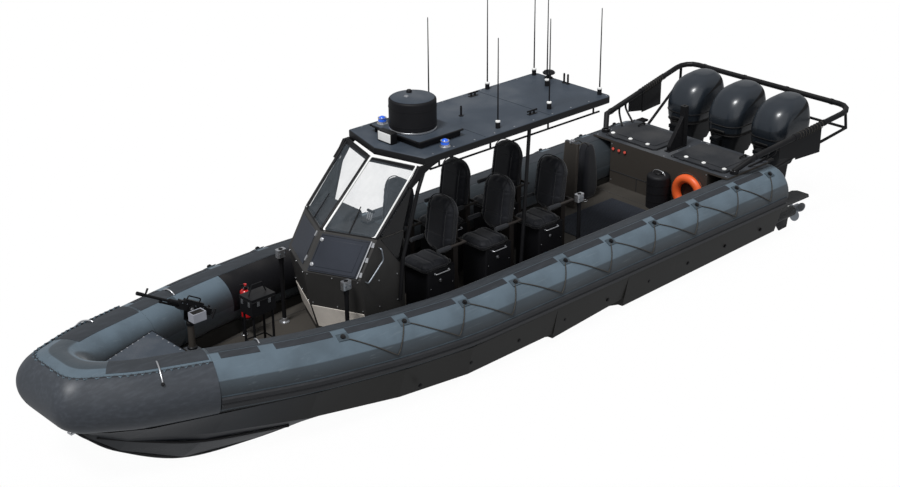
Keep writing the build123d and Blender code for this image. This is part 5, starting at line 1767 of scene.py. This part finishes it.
class BOAT_OT_engines(bpy.types.Operator):
    """Domed cowls with their trim and pans, and bolts, anodes, nuts and intakes of the legs"""

    bl_idname = "boat.engines"
    bl_label = "Outboard engines"

    COWL = (
        (0.905, -5.25, -5.976, 0.484, 0.165),
        (1.01, -5.232, -5.998, 0.512, 0.185),
        (1.17, -5.238, -6.022, 0.54, 0.195),
        (1.35, -5.322, -6.014, 0.496, 0.19),
        (1.45, -5.44, -5.984, 0.41, 0.165),
        (1.512, -5.6, -5.916, 0.262, 0.11),
    )
    PAN = (
        (0.912, -5.256, -5.968, 0.474, 0.16),
        (0.86, -5.262, -5.94, 0.44, 0.15),
        (0.76, -5.275, -5.87, 0.37, 0.13),
        (0.62, -5.29, -5.79, 0.3, 0.1),
    )
    LATCH = ((-6.0, -0.07), (-6.03, -0.07), (-6.03, 0.07), (-6.0, 0.07))

    def cowl(self, name, y):
        """Cowl skin: the section table run smoothly, closed by a low dome."""
        knots = [Vector(row[:3]) for row in self.COWL]
        rest = [Vector((row[3], row[4], 0)) for row in self.COWL]
        rows = []
        for place, wide in zip(bent(knots, 7), bent(rest, 7)):
            z, front, back = place
            rows.append((z, (front + back) / 2, front - back, wide.x, wide.y))
        z, middle, length, width, corner = rows[-1]
        for share, rise in ((0.9, 0.004), (0.7, 0.009), (0.4, 0.0125), (0.12, 0.014)):
            rows.append((z + rise, middle, length * share, width * share, corner * share))
        skin = []
        for z, middle, length, width, corner in rows:
            skin.append([(middle + px, y + py, z) for px, py in rounded(length, width, corner, 56)])
        shape = Shape().rings(skin)
        piece = shape.make(
            f"cowl_skin_{name}", "cowl", f"engine_{name}", "cowl_gloss", angle=60.0, merge=0.0004
        )
        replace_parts(piece, f"cowl_{name}")
        return rows

    def execute(self, context):
        for name, y in ENGINES:
            body = f"engine_{name}"
            rows = self.cowl(name, y)
            pan = []
            for z, front, back, width, corner in self.PAN:
                pan.append(
                    [
                        ((front + back) / 2 + px, y + py, z)
                        for px, py in rounded(front - back, width, corner, 56)
                    ]
                )
            Shape().rings(pan).make(
                f"engine_pan_{name}", "engine", body, "engine_metal", angle=50, merge=0.0004
            )
            rims = []
            for at, out in ((0.925, 0.003), (1.06, 0.0025)):
                z, middle, length, width, corner = min(rows, key=lambda row: abs(row[0] - at))
                rims.append(
                    [
                        (middle + px, y + py, z)
                        for px, py in rounded(length + 2 * out, width + 2 * out, corner, 56)
                    ]
                )
            strands(f"cowl_seams_{name}", rims, 0.006, "slot", body, "black_plastic", 8, True)
            latch = knee([(x, y + dy, 1.02) for x, dy in self.LATCH], 0.02)
            strands(f"cowl_latch_{name}", [latch], 0.009, "black", body)
            Shape().block((-5.27, y - 0.1, 0.955), (-5.222, y + 0.1, 0.985)).make(
                f"cowl_front_grip_{name}", "slot", body, "black_plastic", 0.01
            )
            tilt = []
            for side in (1, -1):
                tilt.append(((-5.0, y + side * 0.095, 0.6), (0, side, 0)))
            studs(f"tilt_pins_{name}", tilt, 0.034, 0.012, "bright", f"swivel_{name}")
            plate = []
            for dy in (-0.085, 0.085):
                for z in (0.43, 0.56, 0.7, 0.76):
                    plate.append(((-4.853, y + dy * 1.05, z), (-1, 0, 0)))
            studs(f"bracket_bolts_{name}", plate, 0.012, 0.008, "bright")
            fins = []
            for side in (1, -1):
                for k in range(5):
                    fins.append((Vector((-5.62 - 0.025 * k, y + side * 0.0425, -0.12)), PORT * side, AHEAD))
            plates(f"leg_intakes_{name}", fins, (0.012, 0.06, 0.006), "slot", body, "engine_metal")
            Shape().block((-6.2, y - 0.03, -0.022), (-5.95, y + 0.03, -0.0145)).make(
                f"leg_anode_{name}", "bright", body, "bright_metal", 0.003
            )
            Shape().turned(
                [(0.05, 0.139), (0.046, 0.152), (0.026, 0.156), (0.024, 0.178), (0.012, 0.186)],
                (-6.068, y, -0.205), 28, -AHEAD,
            ).make(f"prop_nut_{name}", "steel", f"propeller_{name}", "prop_steel")
        return {"FINISHED"}


class BOAT_OT_bow_gear(bpy.types.Operator):
    """Foredeck bolts, pedestal trim, gun and tray trim, locker latches and extinguisher fittings"""

    bl_idname = "boat.bow_gear"
    bl_label = "Bow gear"

    PIVOT = (3.14, 0.0, 1.24)
    RISE = 30.0

    def on_gun(self, ahead, side, up):
        """Point in the gun's own raised frame."""
        turn = radians(self.RISE)
        base = Vector(self.PIVOT)
        forth, high = Vector((cos(turn), 0, sin(turn))), Vector((-sin(turn), 0, cos(turn)))
        return base + forth * ahead + PORT * side + high * up

    def execute(self, context):
        self.foredeck()
        self.gun()
        self.locker()
        self.extinguisher()
        return {"FINISHED"}

    def foredeck(self):
        bolts = []
        for k in range(8):
            t = (k + 0.5) / 8
            x, y = 3.4 + 0.64 * t, 0.31 - 0.22 * t
            bolts += [((x, y, 0.95), UP), ((x, -y, 0.95), UP)]
        bolts += [((3.405, y, 0.95), UP) for y in (-0.2, -0.1, 0.0, 0.1, 0.2)]
        studs("foredeck_bolts", bolts, 0.009, 0.005, "bright")
        bead = [(3.385, 0.325, 0.951), (4.055, 0.1, 0.951), (4.055, -0.1, 0.951), (3.385, -0.325, 0.951)]
        strands("foredeck_bead", [bead], 0.005, "black", slot="panel_paint", sides=8, closed=True)
        Shape().block((3.055, -0.085, DECK_Z), (3.225, 0.085, 0.352)).make(
            "pedestal_foot", "box", slot="box_paint", bevel=0.003
        )
        heads = [((3.14 + dx, dy, 0.352), UP) for dx in (-0.073, 0.073) for dy in (-0.073, 0.073)]
        studs("pedestal_bolts", heads, 0.009, 0.006, "bright")
        collar = Shape()
        collar.turned(
            [(0.03, 0.0), (0.05, 0.0), (0.05, 0.02), (0.042, 0.028), (0.03, 0.028)], (3.14, 0, 0.79)
        )
        collar.turned([(0.03, 0.0), (0.043, 0.0), (0.043, 0.026), (0.03, 0.026)], (3.14, 0, 1.055))
        collar.make("pedestal_collars", "black")

    def gun(self):
        along = self.on_gun(1, 0, 0) - self.on_gun(0, 0, 0)
        vents = []
        for k in range(5):
            for side in (1, -1):
                vents.append((self.on_gun(0.17 + 0.018 * k, side * 0.0265, 0.018), PORT * side, along))
        plates("barrel_jacket_vents", vents, (0.008, 0.022, 0.004), "slot", "gun", "black_metal")
        bar = [
            self.on_gun(ahead, 0, up)
            for ahead, up in ((-0.1, 0.075), (-0.1, 0.115), (0.06, 0.115), (0.06, 0.075))
        ]
        strands("gun_carry_bar", [knee(bar, 0.02)], 0.007, "black", "gun", "black_metal", 10)
        heads = []
        for ahead in (-0.15, -0.05, 0.06, 0.12):
            for side in (1, -1):
                heads.append((self.on_gun(ahead, side * 0.029, 0.035), (0, side, 0)))
        studs("gun_case_bolts", heads, 0.006, 0.004, "steel", "gun", "black_metal")
        pins = [((3.14, side * 0.0515, 1.24), (0, side, 0)) for side in (1, -1)]
        studs("yoke_pins", pins, 0.018, 0.008, "bright", "gun_mount")
        Shape().block((3.055, 0.067, 1.2245), (3.185, 0.146, 1.2262)).make("tray_well", "slot", "gun_mount")
        rim = [(3.048, 0.062, 1.226), (3.192, 0.062, 1.226), (3.192, 0.151, 1.226), (3.048, 0.151, 1.226)]
        strands("tray_rim", [rim], 0.0045, "tray", "gun_mount", "tray_paint", 8, True)

    def locker(self):
        tabs = [(Vector((2.471, y, 1.06)), AHEAD, PORT) for y in (-0.06, 0.06)]
        tabs += [
            (Vector((x, side * 0.1055, 1.06)), PORT * side, AHEAD) for x in (2.25, 2.39) for side in (1, -1)
        ]
        plates("locker_latches", tabs, (0.03, 0.05, 0.01), "bright")
        loop = [(2.171, -0.106, 1.085), (2.469, -0.106, 1.085), (2.469, 0.106, 1.085), (2.171, 0.106, 1.085)]
        strands("locker_lid_bead", [loop], 0.0045, "slot", sides=8, closed=True)
        feet = Shape()
        for x in (2.2, 2.44):
            for y in (-0.08, 0.08):
                feet.turned(
                    [(0.032, 0.0), (0.032, 0.006), (0.016, 0.012), (0.012, 0.012)], (x, y, DECK_Z), 20
                )
        feet.make("locker_feet", "black")
        ties = [[(2.2, y, 0.6), (2.44, y, 0.6)] for y in (-0.08, 0.08)]
        ties += [[(x, -0.08, 0.6), (x, 0.08, 0.6)] for x in (2.2, 2.44)]
        strands("locker_leg_ties", ties, 0.008, "black", sides=8)

    def extinguisher(self):
        spot = Vector((2.08, -0.56, 0.56))
        bands = Shape()
        for z in (0.08, 0.24):
            bands.turned([(0.05, 0), (0.0605, 0.001), (0.0605, 0.019), (0.05, 0.02)], spot + UP * z, 32)
        bands.turned([(0.022, 0.335), (0.026, 0.34), (0.026, 0.37), (0.02, 0.376)], spot, 20)
        bands.make("extinguisher_bands", "black")
        grips = [
            [spot + Vector((0.0, 0, 0.385)), spot + Vector((0.085, 0.012, 0.405))],
            [spot + Vector((0.0, 0, 0.37)), spot + Vector((0.075, 0.012, 0.36))],
        ]
        strands("extinguisher_grips", grips, 0.007, "black", sides=8)
        pipe = bent(
            [
                spot + Vector(p)
                for p in (
                    (0.0, 0.02, 0.36), (0.0, 0.06, 0.365), (0.0, 0.078, 0.31), (0.0, 0.072, 0.2),
                    (0.0, 0.07, 0.06),
                )
            ],
            7,
        )
        strands("extinguisher_horn", [pipe], 0.01, "plastic", sides=10)
        clips = [(spot + Vector((0.0, 0.064, z)), PORT, AHEAD) for z in (0.1, 0.25)]
        plates("horn_clips", clips, (0.036, 0.02, 0.022), "black")
        gauge = [(spot + Vector((0.024, 0.0, 0.352)), (1, 0, 0))]
        studs("extinguisher_gauge", gauge, 0.014, 0.01, "bright")


class BOAT_OT_stanchions(bpy.types.Operator):
    """Feet, clamp bolts and foam sleeve of the stanchions, and the bag and board aft of them"""

    bl_idname = "boat.stanchions"
    bl_label = "Stanchions"

    SPOTS = ((1.6, 0.55), (1.6, -0.55), (-1.848, 0.61), (-1.848, -0.61))
    TOP = 1.12
    BAG = (
        (0.74, 0.03, 0.1),
        (0.7, 0.062, 0.13),
        (0.6, 0.082, 0.15),
        (0.5, 0.098, 0.165),
        (0.42, 0.1, 0.165),
        (0.37, 0.08, 0.145),
        (0.352, 0.04, 0.1),
    )

    def execute(self, context):
        dark, pale, heads, pins = Shape(), Shape(), [], []
        for x, y in self.SPOTS:
            flange = pale if (x > 0 and y < 0) else dark
            flange.turned(
                [(0.058, 0.0), (0.058, 0.01), (0.034, 0.016), (0.028, 0.05), (0.02, 0.054)], (x, y, DECK_Z)
            )
            dark.turned([(0.02, 0.0), (0.029, 0.0), (0.029, 0.05), (0.02, 0.05)], (x, y, self.TOP - 0.06))
            for turn in range(4):
                a = pi / 4 + turn * pi / 2
                heads.append(((x + 0.045 * cos(a), y + 0.045 * sin(a), DECK_Z + 0.01), UP))
            for dx in (-0.03, 0.03):
                for side in (1, -1):
                    pins.append(((x + dx, y + side * 0.035, self.TOP + 0.046), (0, side, 0)))
        dark.make("stanchion_flanges", "black")
        pale.make("stanchion_bright_foot", "bright")
        studs("stanchion_foot_bolts", heads, 0.006, 0.005, "bright")
        studs("clamp_bolts", pins, 0.01, 0.008, "steel", slot="bright_metal")
        caps = [((x, y, self.TOP + 0.0905), UP) for x, y in self.SPOTS]
        studs("clamp_caps", caps, 0.024, 0.01, "black")
        self.sleeve()
        return {"FINISHED"}

    def sleeve(self):
        """Foam sleeve on the aft starboard stanchion, and a slack bag strapped to an upright board."""
        x, y = self.SPOTS[3]
        rows = []
        for k in range(15):
            z = 0.78 + 0.3 * k / 14
            reach = 0.043 + 0.004 * sin(pi * k / 14) - 0.003 * (k % 5 == 2)
            rows.append(circle(x, y, z, reach, 28))
        sleeve = Shape().rings(rows).make("stanchion_sleeve", "vinyl", angle=60)
        bag = []
        for z, deep, wide in self.BAG:
            plan = rounded(deep * 2, wide * 1.25, min(deep, wide) * 0.55, 40)
            bag.append([(-3.42 + px * 1.4, -0.7 + py, 0.33 + (z - 0.352) * 1.95) for px, py in plan])
        piece = Shape().rings(bag).make("gear_bag", "vinyl", angle=60)
        soft = piece.modifiers.new("soft", "SUBSURF")
        soft.levels = soft.render_levels = 1
        Shape().slab(
            [(-3.0, -0.78, 0.342), (-3.0, -0.52, 0.342), (-3.06, -0.54, 1.2), (-3.06, -0.76, 1.2)],
            (-0.05, 0, 0),
        ).make("aft_board", "box", slot="box_paint", bevel=0.012)
        studs("board_clamp", [((-3.085, -0.65, 1.198), UP)], 0.035, 0.03, "bright")
        straps = [
            bent([(-3.4, -0.7 + dy, 1.06), (-3.28, -0.68 + dy, 1.14), (-3.11, -0.65 + dy, 1.12)], 6)
            for dy in (-0.05, 0.05)
        ]
        strands("bag_straps", straps, 0.006, "rope", slot="seat_vinyl", sides=8)


CAMERA_AT = (10.464, 11.705, 7.976)
CAMERA_YAW = 227.23
CAMERA_DOWN = 24.10
CAMERA_ROLL = -0.47
CAMERA_LENS = 61.55
CAMERA_SENSOR = 36.0
SUN_AWAY = 14
FLOOR_CLEAR = 0.97


class BOAT_OT_stage(bpy.types.Operator):
    """Camera, studio light and a pale floor at the waterline"""

    bl_idname = "boat.stage"
    bl_label = "Stage"

    def camera(self, scene):
        yaw, down, roll = (radians(v) for v in (CAMERA_YAW, CAMERA_DOWN, CAMERA_ROLL))
        ahead = Vector((cos(yaw) * cos(down), sin(yaw) * cos(down), -sin(down)))
        right = ahead.cross(UP).normalized()
        top = right.cross(ahead)
        right, top = right * cos(roll) + top * sin(roll), top * cos(roll) - right * sin(roll)
        data = bpy.data.cameras.new("camera")
        data.sensor_fit = "HORIZONTAL"
        data.sensor_width = CAMERA_SENSOR
        data.lens = CAMERA_LENS
        data.clip_end = 200.0
        camera = put("camera", data)
        axes = Matrix((right, top, -ahead)).transposed().to_4x4()
        camera.matrix_world = Matrix.Translation(Vector(CAMERA_AT)) @ axes
        scene.camera = camera

    def sun(self, name, energy, aim, spread):
        data = bpy.data.lights.new(name, "SUN")
        data.energy = energy
        data.angle = radians(spread)
        lamp = put(name, data)
        lamp.rotation_euler = Vector(aim).to_track_quat("Z", "Y").to_euler()
        lamp.location = Vector(aim).normalized() * SUN_AWAY

    def world(self, scene):
        scene.world = bpy.data.worlds.new("studio")
        scene.world.use_nodes = True
        p = Paint("studio", scene.world.node_tree)
        path = p.tree.nodes.new("ShaderNodeLightPath")
        seen = Sock(p, path.outputs["Is Camera Ray"]) + Sock(p, path.outputs["Is Transmission Ray"])
        soft = p.node("ShaderNodeBackground", None, {"Color": (0.95, 0.97, 1.0, 1.0), "Strength": 0.4})
        white = p.node("ShaderNodeBackground", None, {"Color": (1.0, 1.0, 1.0, 1.0), "Strength": 1.0})
        both = p.node("ShaderNodeMixShader", None, {0: seen, 1: soft, 2: white})
        out = p.tree.nodes.new("ShaderNodeOutputWorld")
        p.tree.links.new(both.socket, out.inputs[0])

    def floor(self, radius):
        p = Paint("pale_floor")
        x, y, _ = p.parts(p.place())
        far = p.ramp((x * x + y * y) / (radius * radius), 0.12, 0.5)
        grain = p.noise(p.place(), 0.6, 3.0)
        tone = p.mix(grain, (0.86, 0.86, 0.86, 1.0), (0.9, 0.9, 0.9, 1.0))
        pale = p.node("ShaderNodeBsdfDiffuse", None, {"Color": tone})
        clear = p.node("ShaderNodeBsdfTransparent", None, {"Color": (1.0, 1.0, 1.0, 1.0)})
        sheet = p.node(
            "ShaderNodeMixShader", None, {0: FLOOR_CLEAR + far * (1.0 - FLOOR_CLEAR), 1: pale, 2: clear}
        )
        p.node_out(sheet)
        mesh = bpy.data.meshes.new("waterline_floor")
        rim = circle(0.0, 0.0, 0.0, radius, 64)
        mesh.from_pydata(rim, [], [list(range(len(rim)))])
        mesh.materials.append(p.material)
        put("waterline_floor", mesh)

    def execute(self, context):
        scene = context.scene
        scene.view_settings.view_transform = "Standard"
        self.camera(scene)
        self.sun("key", 2.6, (0.45, 0.12, 0.9), 14)
        self.sun("fill", 0.5, (0.35, 0.85, 0.55), 60)
        self.world(scene)
        self.floor(sizes().floor)
        return {"FINISHED"}


STEPS = (
    BOAT_OT_stage,
    BOAT_OT_finishes,
    BOAT_OT_tubes,
    BOAT_OT_tube_trim,
    BOAT_OT_hull_trim,
    BOAT_OT_console,
    BOAT_OT_roof,
    BOAT_OT_seats,
    BOAT_OT_stern,
    BOAT_OT_engines,
    BOAT_OT_bow_gear,
    BOAT_OT_stanchions,
)


class BOAT_PT_panel(bpy.types.Panel):
    """Lists the steps that dress the boat"""

    bl_idname = "BOAT_PT_panel"
    bl_label = "Patrol boat"
    bl_space_type = "VIEW_3D"
    bl_region_type = "UI"
    bl_category = "Patrol boat"

    def draw(self, context):
        for step in STEPS:
            self.layout.operator(step.bl_idname)
        for group in ("boat_colours", "boat_sizes"):
            holder = getattr(context.scene, group)
            for key in holder.__annotations__:
                self.layout.prop(holder, key)


CLASSES = (BoatColours, BoatSizes) + STEPS + (BOAT_PT_panel,)


def register():
    for cls in CLASSES:
        bpy.utils.register_class(cls)
    bpy.types.Scene.boat_colours = bpy.props.PointerProperty(type=BoatColours)
    bpy.types.Scene.boat_sizes = bpy.props.PointerProperty(type=BoatSizes)


def unregister():
    del bpy.types.Scene.boat_sizes
    del bpy.types.Scene.boat_colours
    for cls in reversed(CLASSES):
        bpy.utils.unregister_class(cls)


def main():
    register()
    for step in STEPS:
        group, action = step.bl_idname.split(".")
        getattr(getattr(bpy.ops, group), action)()


if __name__ == "__main__":
    main()
